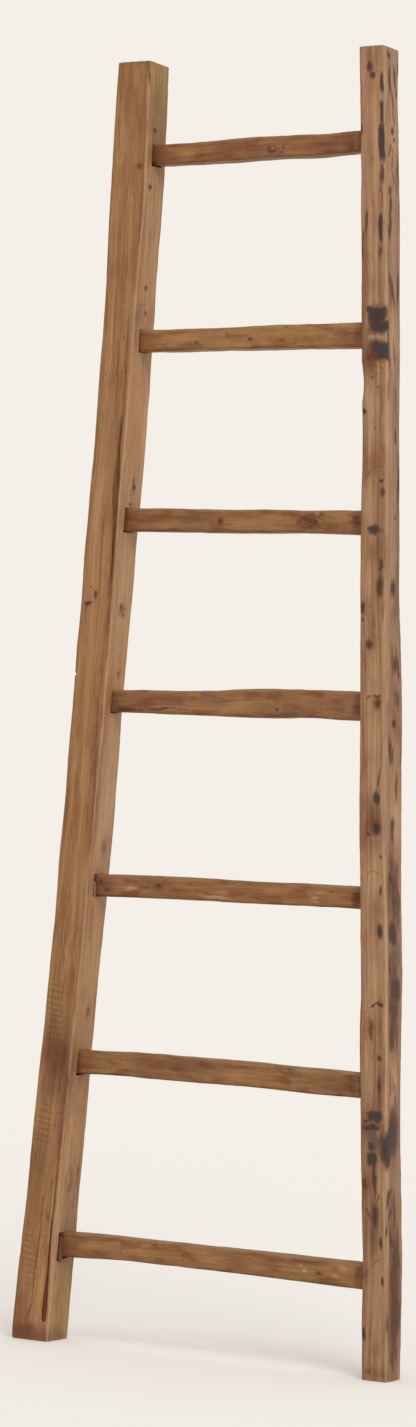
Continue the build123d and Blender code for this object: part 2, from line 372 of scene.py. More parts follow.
z = np.linspace(0, LEFT_TOP, STILE_ROWS)
radii = [
    worn(10 + k, STILE_ROWS, radius, radius * LEFT_CORNER_SPREAD, LEFT_CORNER_CELLS)
    for k, radius in enumerate(LEFT_CORNERS)]
radii[1] = radii[1] + FOOT_WEAR * np.exp(-z / FOOT_WEAR_RISE)
stile_left = bar(
    "hewn_stile_left", z, left_outer(z), left_inner(z), LEFT_FRONT_Y, BACK_Y, radii,
    lambda p, q, t: (p, q, t), hewn(1, STILE_HEWING, STILE_HEWN), left_inner(z) - left_ridge(z),
    LEFT_STEPS)
z = np.linspace(0, HEIGHT, STILE_ROWS)
radii = [
    worn(20 + k, STILE_ROWS, radius, radius * RIGHT_CORNER_SPREAD, RIGHT_CORNER_CELLS)
    for k, radius in enumerate(RIGHT_CORNERS)]
dent = np.maximum(DENT_BITE * (1 - ((z - DENT_LEVEL) * 2 / DENT_LENGTH) ** 2), 0)
stile_right = bar(
    "hewn_stile_right", z, right_inner(z) + dent, right_outer(z), RIGHT_FRONT_Y, BACK_Y, radii,
    lambda p, q, t: (p, q, t), hewn(5, STILE_HEWING, STILE_HEWN), right_outer(z) - right_ridge(z),
    RIGHT_STEPS)
for level, radius, deep, share in KNOT_HOLLOWS:
    dish(stile_right, right_inner(level) * (1 - share) + right_outer(level) * share, level, radius, deep)

rungs = []
for n in range(len(RUNG_LEVELS)):
    start, end = rung_span(n)
    x = np.linspace(start - LEFT_TENON, end + RIGHT_TENON, RUNG_ROWS)
    radii = [
        worn(40 + 4 * n + k, RUNG_ROWS, RUNG_CORNER, RUNG_CORNER_SPREAD, RUNG_CORNER_CELLS)
        for k in range(4)]
    rungs.append(bar(
        "hewn_rung_%d" % (n + 1), x, rung_edge(n, x, -1), rung_edge(n, x, 1), RUNG_FRONT_Y, RUNG_BACK_Y,
        radii, lambda p, q, t: (t, q, p), hewn(60 + 3 * n, RUNG_HEWING, RUNG_HEWN), 0.0,
        RUNG_STEPS, RUNG_ARC_STEPS, RUNG_BEVEL))


# Materials
def tone(r, g, b):
    """A colour as it reads on the photograph's scale, as a linear value."""
    out = []
    for v in (r / 255, g / 255, b / 255):
        out.append(v / 12.92 if v <= 0.04045 else ((v + 0.055) / 1.055) ** 2.4)
    return (*out, 1)


# The ellipses of patches that are worked out together, and how far the next ones are moved
CHAIN, NUDGE = 8, 1e-7


class Nodes:
    """Small helper that wires the nodes of a material or of the world."""

    def __init__(self, holder):
        holder.use_nodes = True
        self.holder = holder
        self.tree = holder.node_tree
        self.tree.nodes.clear()

    def add(self, kind, settings=None, **inputs):
        """A new node; its inputs are given by name, or by number as i0, i1 and so on."""
        node = self.tree.nodes.new(kind)
        for key, value in (settings or {}).items():
            setattr(node, key, value)
        for key, value in inputs.items():
            numbered = key[0] == "i" and key[1:].isdigit()
            socket = node.inputs[int(key[1:]) if numbered else key]
            if isinstance(value, bpy.types.NodeSocket):
                self.tree.links.new(value, socket)
            else:
                socket.default_value = value
        return node

    def math(self, operation, a, b=0.0, clamp=False):
        kind = {"operation": operation, "use_clamp": clamp}
        return self.add("ShaderNodeMath", kind, i0=a, i1=b).outputs[0]

    def plus(self, a, b):
        return self.math("ADD", a, b)

    def minus(self, a, b):
        return self.math("SUBTRACT", a, b)

    def times(self, a, b, clamp=False):
        return self.math("MULTIPLY", a, b, clamp)

    def vector(self, operation, a, b=(0, 0, 0)):
        return self.add("ShaderNodeVectorMath", {"operation": operation}, i0=a, i1=b).outputs[0]

    def noise(self, where, scale, detail=3.0, rough=0.55, warp=0.0):
        return self.add("ShaderNodeTexNoise", None, Vector=where, Scale=scale, Detail=detail,
                        Roughness=rough, Distortion=warp).outputs

    def remap(self, value, low, high, to_low=0.0, to_high=1.0, smooth=True):
        kind = {"interpolation_type": "SMOOTHSTEP" if smooth else "LINEAR"}
        node = self.add("ShaderNodeMapRange", kind, i0=value, i1=low, i2=high, i3=to_low, i4=to_high)
        return node.outputs[0]

    def mix(self, share, a, b, blend="MIX"):
        kind = {"data_type": "RGBA", "blend_type": blend, "clamp_factor": True}
        return self.add("ShaderNodeMix", kind, i0=share, i6=a, i7=b).outputs[2]

    def tint(self, share, colour, shade):
        return self.mix(share, colour, (*shade, 1), "MULTIPLY")

    def ramp(self, value, first, last, between):
        """A colour ramp; between holds (place, colour) pairs."""
        node = self.add("ShaderNodeValToRGB", None, Fac=value)
        elements = node.color_ramp.elements
        elements[0].color = first
        elements[1].color = last
        for place, colour in between:
            elements.new(place).color = colour
        return node.outputs[0]

    def stretch(self, where, scale, offset=(0, 0, 0)):
        return self.add("ShaderNodeMapping", None, Vector=where, Scale=scale, Location=offset).outputs[0]

    def waver(self, where, noise, reach):
        """Moves a place about by a colour noise."""
        swing = self.vector("SUBTRACT", noise["Color"], (0.5, 0.5, 0.5))
        return self.vector("ADD", where, self.vector("MULTIPLY", swing, reach))

    def painted(self, name):
        """The three channels painted on the skin under a name."""
        vector = self.add("ShaderNodeAttribute", {"attribute_name": name}).outputs["Vector"]
        return self.add("ShaderNodeSeparateXYZ", None, Vector=vector).outputs

    def patches(self, where, items, core=0.35, even=False):
        """Greatest of many soft ellipses: (u, v, half u, half v, turn, strength).

        Even ones keep one width along their length, as a crack does. Every few ellipses the place
        is taken again from the total so far, moved by next to nothing, so that the renderer works
        through them in turn and its memory holds them.
        """
        total = None
        for k, (u, v, a, b, turn, strength) in enumerate(items):
            if k and k % CHAIN == 0:
                nudge = self.add("ShaderNodeCombineXYZ", None, Z=self.times(total, NUDGE)).outputs[0]
                where = self.vector("ADD", where, nudge)
            spot = self.add("ShaderNodeMapping", {"vector_type": "TEXTURE"}, Vector=where, Location=(u, v, 0),
                            Rotation=(0, 0, turn), Scale=(a, a if even else b, 1)).outputs[0]
            if even:
                spot = self.vector("SUBTRACT", self.vector("ABSOLUTE", spot), (0, b / a - 1, 0))
                spot = self.vector("MAXIMUM", spot, (0, 0, 0))
            away = self.add("ShaderNodeVectorMath", {"operation": "LENGTH"}, i0=spot).outputs["Value"]
            one = self.remap(away, 1.0, core, 0.0, strength)
            total = one if total is None else self.math("MAXIMUM", total, one)
        return total if total is not None else 0.0

    def surface(self, colour, rough, height, bump, deep, shine):
        """Ends a material; bump and deep are the strength and the distance of its relief."""
        normal = self.add("ShaderNodeBump", None, Height=height, Strength=bump, Distance=deep).outputs[0]
        shader = self.add("ShaderNodeBsdfPrincipled", None, Roughness=rough, Normal=normal,
                          **{"Base Color": colour, "Specular IOR Level": shine})
        self.add("ShaderNodeOutputMaterial", None, Surface=shader.outputs[0])
        return self.holder


RED_TONE, SAWN_TONE, PALE_TONE, GREY_TONE = (112, 62, 38), (100, 60, 38), (184, 148, 116), (98, 82, 72)
WARM_SOOT, COLD_SOOT, CRACK_TONE = (84, 54, 36), (58, 50, 47), (66, 38, 24)
KNOT_RINGS = ((0.11, 0.74), (0.22, 1.02), (0.36, 0.72), (0.5, 0.86), (0.66, 0.48))


def wood(name, light, middle, dark, seed, marks, side_tint=None, rough=0.62, bold=1.0,
         brisk=1.0, mottle=(24, 8, 0.5), hairs=0.55, glow=None, rubbed_and_highlight_tone=(186, 150, 116)):
    """Aged open-grained wood: placed knots and checks, painted stains, worn edges with a painted highlight,
    and tool marks.

    bold weakens the contrast of the grain below 1, brisk shortens its streaks, and mottle
    is (cells per metre round the bar, cells per metre along it, strength).
    """
    n = Nodes(bpy.data.materials.new(name))
    space = n.add("ShaderNodeAttribute", {"attribute_name": "wood"}).outputs["Vector"]
    flat = n.add("ShaderNodeUVMap", {"uv_map": "map"}).outputs[0]
    stained, greyed, paled = n.painted("marks")
    # Red stains, saw marks, and worn edges that also carry a painted highlight
    reddened, sawn, edge = n.painted("wear_and_highlight")
    shaded, olive, lightened = n.painted("cast")
    shift = (seed * 0.37, seed * 0.71, seed * 0.13)

    def grain(where, scale, detail=2.0, rough=0.55, warp=0.0):
        return n.noise(n.stretch(where, scale, shift), 1.0, detail, rough, warp)

    steady = n.waver(flat, grain(flat, (60, 22, 1)), (0.0024, 0.004, 0))
    knots = n.patches(steady, marks.get("knots", ()), core=0.0)
    checks = n.patches(steady, marks.get("checks", ()), core=0.1, even=True)

    bend = n.add("ShaderNodeCombineXYZ", None, X=n.times(knots, 0.012)).outputs[0]
    bent = n.waver(n.vector("ADD", space, bend), grain(flat, (9, 3.2, 1)), (0.02, 0.02, 0))
    broad = grain(bent, (60, 60, 1.3 * brisk), 3.0, 0.6, 0.2)["Fac"]
    bands = grain(bent, (210, 210, 2.6 * brisk), 3.0, 0.6, 0.2)["Fac"]
    threads = grain(bent, (150, 150, 1.9))["Fac"]
    fibre = grain(bent, (900, 900, 16), 2.0, 0.6)["Fac"]
    pores = grain(bent, (1500, 1500, 46), 1.0, 0.5)["Fac"]
    cloud = grain(flat, (26, 9, 1), 3.0, 0.6)["Fac"]
    clump = grain(flat, (120, 48, 1), 3.0, 0.6)["Fac"]
    chatter = grain(flat, (30, 210, 1))["Fac"]
    drift = n.stretch(flat, (mottle[0], mottle[1], 1), (seed * 0.53, seed * 0.29, 0))
    drift = n.noise(drift, 1.0, 2.0, 0.5)["Fac"]

    level = n.add("ShaderNodeMix", {"data_type": "FLOAT"}, i0=0.55, i2=broad, i3=bands).outputs[0]
    level = n.remap(level, 0.5 - 0.13 / bold, 0.5 + 0.13 / bold, smooth=False)
    colour = n.ramp(level, tone(*dark), tone(*light), ((0.5, tone(*middle)),))
    if side_tint:
        way = n.add("ShaderNodeSeparateXYZ", None, Vector=flat).outputs[0]
        side = n.times(n.remap(way, -0.002, 0.004), n.remap(bands, 0.3, 0.6, 0.45, 0.9))
        colour = n.mix(side, colour, tone(*side_tint))
    hair = n.math("ABSOLUTE", n.minus(threads, 0.5))
    hair = n.times(n.remap(hair, 0.014, 0.0), n.remap(broad, 0.46, 0.6))
    for share, shade in (
            (n.times(hair, hairs), (0.36, 0.21, 0.12)),
            (n.remap(fibre, 0.35, 0.65, 0.0, 0.28), (0.42, 0.3, 0.2)),
            (n.remap(pores, 0.62, 0.72, 0.0, 0.36), (0.3, 0.2, 0.13)),
            (n.remap(drift, 0.48, 0.64, 0.0, mottle[2]), (0.74, 0.52, 0.4)),
            (n.remap(drift, 0.47, 0.34, 0.0, mottle[2]), (0.98, 1.02, 0.8)),
            (n.remap(cloud, 0.5, 0.72, 0.0, 0.3), (0.64, 0.48, 0.36))):
        colour = n.tint(share, colour, shade)
    colour = n.mix(n.remap(cloud, 0.42, 0.26, 0.0, 0.35), colour, tone(*light))
    for share, shade in (
            (n.remap(chatter, 0.5, 0.75, 0.0, 0.14), (0.6, 0.45, 0.34)),
            (n.times(shaded, n.remap(drift, 0.3, 0.6, 0.7, 1.0), True), (0.42, 0.32, 0.26)),
            (n.times(olive, 0.9, True), (0.84, 0.88, 0.66))):
        colour = n.tint(share, colour, shade)

    glowing = n.times(lightened, n.remap(bands, 0.35, 0.6, 0.5, 0.9), True)
    colour = n.mix(glowing, colour, tone(*(glow or light)))
    red = n.times(reddened, n.remap(cloud, 0.3, 0.6, 0.5, 0.95), True)
    colour = n.mix(red, colour, tone(*RED_TONE))
    slant = n.add("ShaderNodeMapping", None, Vector=flat, Rotation=(0, 0, 0.16)).outputs[0]
    wave = n.add("ShaderNodeTexWave", {"wave_type": "BANDS", "bands_direction": "Y"}, Vector=slant,
                 Scale=34.0, Distortion=2.2, Detail=2.0).outputs["Fac"]
    cuts = n.times(n.times(n.remap(wave, 0.5, 0.95), n.remap(cloud, 0.3, 0.6)), sawn)
    colour = n.mix(n.times(cuts, 0.5, True), colour, tone(*SAWN_TONE))
    # Worn edges turned lighter; on the front corner facing the light this is also a painted highlight
    rubbed_and_highlit = n.times(edge, n.remap(cloud, 0.35, 0.6, 0.15, 0.6), True)
    colour = n.mix(rubbed_and_highlit, colour, tone(*rubbed_and_highlight_tone))
    rings = [(place, (v, v * 0.9, v * 0.8, 1)) for place, v in KNOT_RINGS]
    rings = n.ramp(knots, (1, 1, 1, 1), (0.3, 0.22, 0.16, 1), rings)
    colour = n.mix(1.0, colour, rings, "MULTIPLY")
    pale = n.times(paled, n.remap(bands, 0.4, 0.6, 0.5, 0.85), True)
    colour = n.mix(pale, colour, tone(*PALE_TONE))

    stir = n.plus(n.times(n.minus(bands, 0.5), 0.6), n.times(n.minus(fibre, 0.5), 0.3))
    stir = n.plus(stir, n.times(n.minus(clump, 0.5), 0.85))
    grey = n.remap(n.plus(greyed, stir), 0.2, 0.75, 0.0, 0.85)
    colour = n.mix(grey, colour, tone(*GREY_TONE))
    ragged = n.plus(stained, stir)
    halo = n.times(n.remap(ragged, 0.1, 0.55), n.remap(stained, 0.04, 0.3, 0.0, 0.7))
    colour = n.tint(halo, colour, (0.56, 0.42, 0.33))
    cold = n.minus(n.plus(clump, n.times(stained, 0.3)), n.times(reddened, 0.25))
    soot = n.mix(n.remap(cold, 0.56, 0.72), tone(*WARM_SOOT), tone(*COLD_SOOT))
    stain = n.times(n.remap(ragged, 0.14, 0.78), n.remap(stained, 0.05, 0.85, 0.3, 0.96, smooth=False))
    colour = n.mix(stain, colour, soot)
    broken = n.times(checks, n.remap(clump, 0.38, 0.6, 0.4, 0.9), True)
    colour = n.mix(broken, colour, tone(*CRACK_TONE))

    height = n.plus(n.times(fibre, 0.3), n.times(bands, 0.9))
    for mark, depth in ((broken, 2.0), (cuts, 0.5), (stain, 0.4), (hair, 0.5)):
        height = n.minus(height, n.times(mark, depth))
    height = n.plus(height, n.times(knots, 0.5))
    gloss = n.remap(fibre, 0.3, 0.7, rough - 0.07, rough + 0.08, smooth=False)
    return n.surface(colour, gloss, height, bump=0.55, deep=0.0012, shine=0.3)


def bare_wood(name, light, dark, seed):
    """Plain split wood for wedges and cut hollows, laid in object space."""
    n = Nodes(bpy.data.materials.new(name))
    here = n.add("ShaderNodeTexCoord").outputs["Object"]
    space = n.stretch(here, (1, 1, 0.12), (seed * 0.31, seed * 0.17, seed * 0.05))
    broad = n.noise(space, 90.0, 3.0, 0.6, 0.4)["Fac"]
    fibre = n.noise(space, 640.0, 3.0, 0.6)["Fac"]
    colour = n.mix(n.remap(broad, 0.36, 0.64), tone(*dark), tone(*light))
    colour = n.tint(n.remap(fibre, 0.42, 0.66, 0.0, 0.55), colour, (0.4, 0.28, 0.2))
    edge = n.math("ABSOLUTE", n.minus(n.add("ShaderNodeNewGeometry").outputs["Pointiness"], 0.5))
    colour = n.mix(n.remap(edge, 0.02, 0.12, 0.0, 0.45), colour, tone(*light))
    gloss = n.remap(fibre, 0.3, 0.7, 0.68, 0.86)
    return n.surface(colour, gloss, n.plus(fibre, broad), bump=0.5, deep=0.001, shine=0.25)


def end_grain(name, light, dark, seed):
    """Sawn end of a bar: growth rings about a pith outside the middle, with fine dark specks."""
    n = Nodes(bpy.data.materials.new(name))
    space = n.add("ShaderNodeAttribute", {"attribute_name": "wood"}).outputs["Vector"]
    moved = n.vector("ADD", n.vector("MULTIPLY", space, (1, 1, 0)), (0.021 + 0.003 * seed, 0.034, 0))
    moved = n.waver(moved, n.noise(moved, 34.0, 3.0), (0.006, 0.006, 0))
    rings = n.add("ShaderNodeTexWave", {"wave_type": "RINGS", "rings_direction": "Z"}, Vector=moved,
                  Scale=58.0, Distortion=1.2, Detail=3.0).outputs["Fac"]
    speck = n.noise(moved, 900.0, 2.0)["Fac"]
    colour = n.mix(rings, tone(*dark), tone(*light))
    colour = n.tint(n.remap(speck, 0.45, 0.7, 0.0, 0.5), colour, (0.35, 0.25, 0.18))
    return n.surface(colour, 0.8, n.plus(rings, speck), bump=0.4, deep=0.001, shine=0.2)


# Painted channels, with the half widths of the worn edges, which also carry a painted highlight, and of the
# thin darkening along the corners
EDGE_WEAR_AND_HIGHLIGHT, CORNER_DARK_HALF, FRONT_DARK_HALF = 0.0045, 0.0035, 0.003
CORNER_DARKNESS = 0.6


def scatter(seed, x, y):
    """Smooth seeded noise from -1 to 1 at any places."""
    cells = 64
    table = np.random.default_rng(seed).uniform(-1, 1, (cells, cells))
    xi, yi = np.floor(x).astype(int), np.floor(y).astype(int)
    fx, fy = ease(x - xi), ease(y - yi)

    def pick(i, j):
        return table[(xi + i) % cells, (yi + j) % cells]

    low = pick(0, 0) * (1 - fx) + pick(1, 0) * fx
    high = pick(0, 1) * (1 - fx) + pick(1, 1) * fx
    return low * (1 - fy) + high * fy


def pull(items, name, width=1, kind=float):
    """One property of every item of a mesh, as rows of an array."""
    values = np.zeros(len(items) * width, kind)
    items.foreach_get(name, values)
    return values.reshape(-1, width) if width > 1 else values


def dress(piece, marks, across, thick, deep, seed, front_darkness=0.0):
    """Writes the grain space, the painted marks, the worn edges with their painted highlight and the darkened
    corners into a finished skin.
    """
    mesh = piece.data
    at = pull(mesh.vertices, "co", 3)
    kinds = pull(mesh.polygons, "material_index", kind=int)
    sizes = pull(mesh.polygons, "loop_total", kind=int)
    corners = pull(mesh.loops, "vertex_index", kind=int)
    outer = np.repeat(kinds, sizes) == 0
    uv = np.zeros((len(at), 2))
    uv[corners[outer]] = pull(mesh.uv_layers["map"].data, "uv", 2)[outer]
    skin = np.zeros(len(at))
    skin[corners[outer]] = 1
    u, v = uv[:, 0], uv[:, 1]
    uw = u + 0.0016 * scatter(seed, u * 110 + 9, v * 60) + 0.0007 * scatter(seed + 1, u * 420, v * 160)
    vw = v + 0.0022 * scatter(seed + 2, u * 130, v * 40) + 0.0012 * scatter(seed + 3, u * 420, v * 60)
    ragged = 1 + 0.5 * scatter(seed + 5, u * 3, v * 40)

    def paint(kind, core, power=2):
        total = np.zeros(len(at))
        for mu, mv, a, b, turn, strength in marks.get(kind, ()):
            x, y = uw - mu, vw - mv
            along_a = (x * math.cos(turn) + y * math.sin(turn)) / a
            along_b = (y * math.cos(turn) - x * math.sin(turn)) / b
            away = (np.abs(along_a) ** power + np.abs(along_b) ** power) ** (1 / power)
            share = np.clip((1.3 - away) / (1.3 - core), 0, 1)
            total = np.maximum(total, strength * ease(share))
        return total

    def ridges(places, width):
        total = np.zeros(len(at))
        for place in places:
            share = np.clip(1 - np.abs(u - place) / (width * ragged), 0, 1)
            total = np.maximum(total, ease(share))
        return total * skin

    w, d = thick(v), deep
    dark = np.maximum(paint("stains", 0.2), paint("blots", 0.45, 5))
    # Worn edges; the one at U 0, the front corner facing the light, is also a painted highlight
    edge = ridges((0, -w - d, w + d), EDGE_WEAR_AND_HIGHLIGHT)
    # Thin darker lines painted along two corners, and on rungs along the upper front corner; they join the
    # shade channel
    corner_darkening = CORNER_DARKNESS * ridges((d, -w), CORNER_DARK_HALF) + front_darkness * ridges((0,), FRONT_DARK_HALF)
    shade = np.maximum(paint("shades", 0.0), corner_darkening)
    for name, channels in (
            ("wood", across(*at.T)),
            ("marks", (dark, paint("greys", 0.3), paint("pales", 0.2))),
            ("wear_and_highlight", (paint("reds", 0.2), paint("saws", 0.5), edge)),
            ("cast", (shade, paint("olives", 0.0), paint("lights", 0.0)))):
        layer = mesh.attributes.new(name, "FLOAT_VECTOR", "POINT")
        layer.data.foreach_set("vector", np.stack(channels, axis=1).astype(np.float32).ravel())


# Marks, with half a photo pixel at the ladder in metres and how far a streak overshoots its ends
HALF_PIXEL, OVERSHOOT = 0.00078, 1.08


def on_stile(corner, front_y):
    """Finds the map place (U, V) in metres of a photo point on a stile's front or right-hand face."""
    def find(px, py):
        way = ray(px, py)
        hit = CAMERA_AT + way * ((front_y * MM - CAMERA_AT.y) / way.y)
        edge = float(corner(hit.z / MM)) * MM
        if hit.x <= edge:
            return hit.x - edge, hit.z
        for _ in range(3):
            hit = CAMERA_AT + way * ((edge - CAMERA_AT.x) / way.x)
            edge = float(corner(hit.z / MM)) * MM
        return hit.y - front_y * MM, hit.z
    return find


def on_rung(index):
    """The same on the front face of a rung, where U counts down from its upper edge."""
    def find(px, py):
        way = ray(px, py)
        hit = CAMERA_AT + way * ((RUNG_FRONT_Y * MM - CAMERA_AT.y) / way.y)
        return hit.z - float(rung_edge(index, hit.x / MM, 1)) * MM, hit.x
    return find


def spot(find, px, py, wide, tall, percent):
    """A soft ellipse from its middle and its full width and height in the photograph."""
    u, v = find(px, py)
    ua, va = find(px - wide / 2, py)
    ub, vb = find(px + wide / 2, py)
    uc, vc = find(px, py - tall / 2)
    ud, vd = find(px, py + tall / 2)
    a = max(abs(ub - ua), abs(ud - uc)) / 2
    b = max(abs(vd - vc), abs(vb - va)) / 2
    return (u, v, a, b, 0.0, percent / 100)


def streak(find, x1, y1, x2, y2, width, percent):
    """A thin tapered streak between two photo points; width is in photo pixels."""
    u1, v1 = find(x1, y1)
    u2, v2 = find(x2, y2)
    length = math.hypot(u2 - u1, v2 - v1) / 2
    turn = math.atan2(-(u2 - u1), v2 - v1)
    half = width * HALF_PIXEL
    if abs(y2 - y1) > abs(x2 - x1):
        x, y = (x1 + x2) / 2, (y1 + y2) / 2
        half = abs(find(x + width / 2, y)[0] - find(x - width / 2, y)[0]) / 2
    return ((u1 + u2) / 2, (v1 + v2) / 2, half, length * OVERSHOOT, turn, percent / 100)


def lay(find, marks, widen=1.0):
    """Marks of the photograph as ellipses on a face's map; widen is for the streaks."""
    laid = {}
    for kind, rows in marks.items():
        laid[kind] = []
        for row in rows:
            if kind == "checks":
                width, percent, *places = row
                points = list(zip(places[::2], places[1::2]))
                for a, b in zip(points, points[1:]):
                    laid[kind].append(streak(find, *a, *b, width, percent))
            elif len(row) == 6:
                laid[kind].append(streak(find, *row[:4], row[4] * widen, row[5]))
            else:
                laid[kind].append(spot(find, *row))
    return laid


# Places read off the photograph, in its pixels. A spot is (x, y, width, height, percent), a
# streak (x1, y1, x2, y2, width, percent), and a check (width, percent, x1, y1, x2, y2, x3, y3 ...).
LEFT_MARKS = {
    "knots": [
        (139.7, 166, 8, 10, 90), (122.5, 611, 12, 18, 50), (119.7, 673.5, 7, 14, 75),
        (104.3, 847, 8, 27, 100), (88, 1012, 7, 24, 90), (155, 131.5, 5, 7, 90), (150.3, 187, 5, 11, 85),
        (146, 288, 5, 9, 90), (145.8, 313.5, 4, 8, 90), (132.4, 486, 6, 14, 50)],
    "checks": [
        (2.2, 100, 149, 61, 149.5, 72, 150, 87), (1.5, 80, 135.5, 166, 134, 185, 133.5, 200),
        (1.4, 70, 140.3, 116, 139.8, 124, 140.6, 131), (1.4, 70, 139, 304, 142, 306, 145.5, 304.6),
        (1.5, 75, 121.4, 420, 119, 452, 118, 484, 117, 518, 113.4, 553, 111.6, 588, 108.8, 622),
        (1.2, 45, 103, 520, 100, 566, 96, 640), (1.2, 45, 128, 320, 125, 380, 122.6, 414),
        (1.6, 80, 90, 585, 93, 588, 95.4, 592, 96.6, 598, 94.3, 602, 90, 602.4, 87.3, 604),
        (1.3, 60, 86.4, 605, 86, 612, 86.8, 623), (1.3, 50, 96, 603.5, 101, 609),
        (2.2, 100, 133, 478, 131.8, 487, 132.2, 495), (2.2, 70, 102.8, 660, 101.4, 684),
        (2, 65, 97.8, 698, 96.4, 742, 92.8, 816, 88.2, 892),
        (2, 80, 42.5, 1198, 40, 1226, 37.3, 1251, 34.6, 1270, 31.4, 1304, 26, 1320),
        (1.6, 70, 67, 1075, 63, 1112, 58.5, 1150, 55.6, 1185, 54, 1206),
        (1.2, 50, 92, 750, 86, 830, 80, 905), (1.1, 40, 146, 200, 144, 262, 140, 330)],
    "stains": [
        (70.4, 1180, 3, 34, 34), (67, 1196, 5, 8, 30), (155, 131.5, 3.4, 4, 90), (150.3, 187, 3, 6, 80),
        (146, 288, 3, 5, 80), (145.8, 313, 3, 4, 80), (96, 595, 5, 12, 70), (88, 603.5, 8, 6, 80),
        (86.5, 612, 4, 14, 40), (133, 488, 3.4, 7, 90), (122, 608, 5, 6, 60), (124, 616, 4, 5, 60),
        (129.5, 505, 4, 5, 60), (77, 1170, 4, 16, 40), (68, 1190, 6, 12, 40), (127, 330, 123, 412, 5, 30),
        (112, 520, 106, 650, 4, 34), (106, 610, 98, 730, 4, 32), (99, 640, 90, 790, 4, 26),
        (95, 500, 88, 600, 4, 22), (72, 1040, 60, 1160, 5, 26)],
    "reds": [
        (116, 482, 8, 56, 90), (118, 440, 4, 60, 60), (114, 540, 7, 90, 75), (96, 780, 7, 190, 55),
        (64, 1110, 5, 120, 60), (24, 1331, 26, 20, 100), (107, 640, 6, 100, 50), (45, 1060, 40, 60, 28),
        (36, 1240, 6, 90, 40), (137, 250, 6, 120, 30), (126, 360, 6, 90, 45)],
    "greys": [
        (122.5, 610.5, 11, 17, 60), (131.5, 493, 6, 18, 40), (90, 600, 12, 24, 35), (43, 1332, 9, 18, 40),
        (72, 1196, 12, 40, 35), (110, 845, 8, 30, 30)],
    "shades": [
        (62, 1054, 52, 120, 100), (40, 1170, 44, 130, 50), (160, 130, 24, 120, 60), (66, 1230, 18, 160, 45),
        (105, 850, 14, 60, 30), (122, 822, 14, 54, 95), (55, 1088, 44, 44, 70), (40, 1336, 66, 26, 90),
        (50, 1030, 44, 90, 40), (48, 1082, 46, 110, 30), (26, 1302, 22, 70, 40), (70, 985, 40, 80, 25),
        (62, 1340, 60, 12, 30), (118, 455, 7, 100, 70), (112, 570, 5, 130, 60), (145, 62, 50, 9, 35),
        (140, 315, 10, 30, 40), (78, 1180, 12, 70, 40), (110, 850, 6, 60, 30), (70, 930, 60, 50, 20)],
    "olives": [
        (160, 95, 30, 150, 90), (130, 90, 34, 100, 50), (66, 1300, 40, 150, 80), (94, 250, 30, 200, 35),
        (78, 640, 24, 120, 30), (70, 860, 30, 100, 50), (88, 1080, 22, 120, 50), (30, 1250, 30, 90, 40)],
    "lights": [
        (120, 560, 40, 120, 40), (96, 610, 36, 160, 50), (130, 430, 24, 120, 50), (146, 425, 16, 110, 100),
        (126, 640, 12, 120, 80), (122, 680, 14, 60, 90), (80, 1030, 24, 70, 60), (80, 860, 30, 80, 40),
        (34, 1290, 30, 60, 50), (90, 760, 40, 120, 25), (152, 420, 20, 200, 35), (122, 780, 18, 90, 45),
        (128, 640, 14, 120, 35)],
    "saws": [
        (54, 1015, 22, 100, 100), (42, 1125, 18, 60, 90), (29, 1259, 20, 74, 100), (95, 320, 24, 80, 35)],
    "pales": [
        (128, 560, 12, 160, 40), (108, 800, 12, 200, 40), (147, 420, 12, 160, 45), (56, 1240, 4, 90, 80),
        (100, 480, 16, 180, 20), (52.5, 1290, 5, 60, 70)],
}
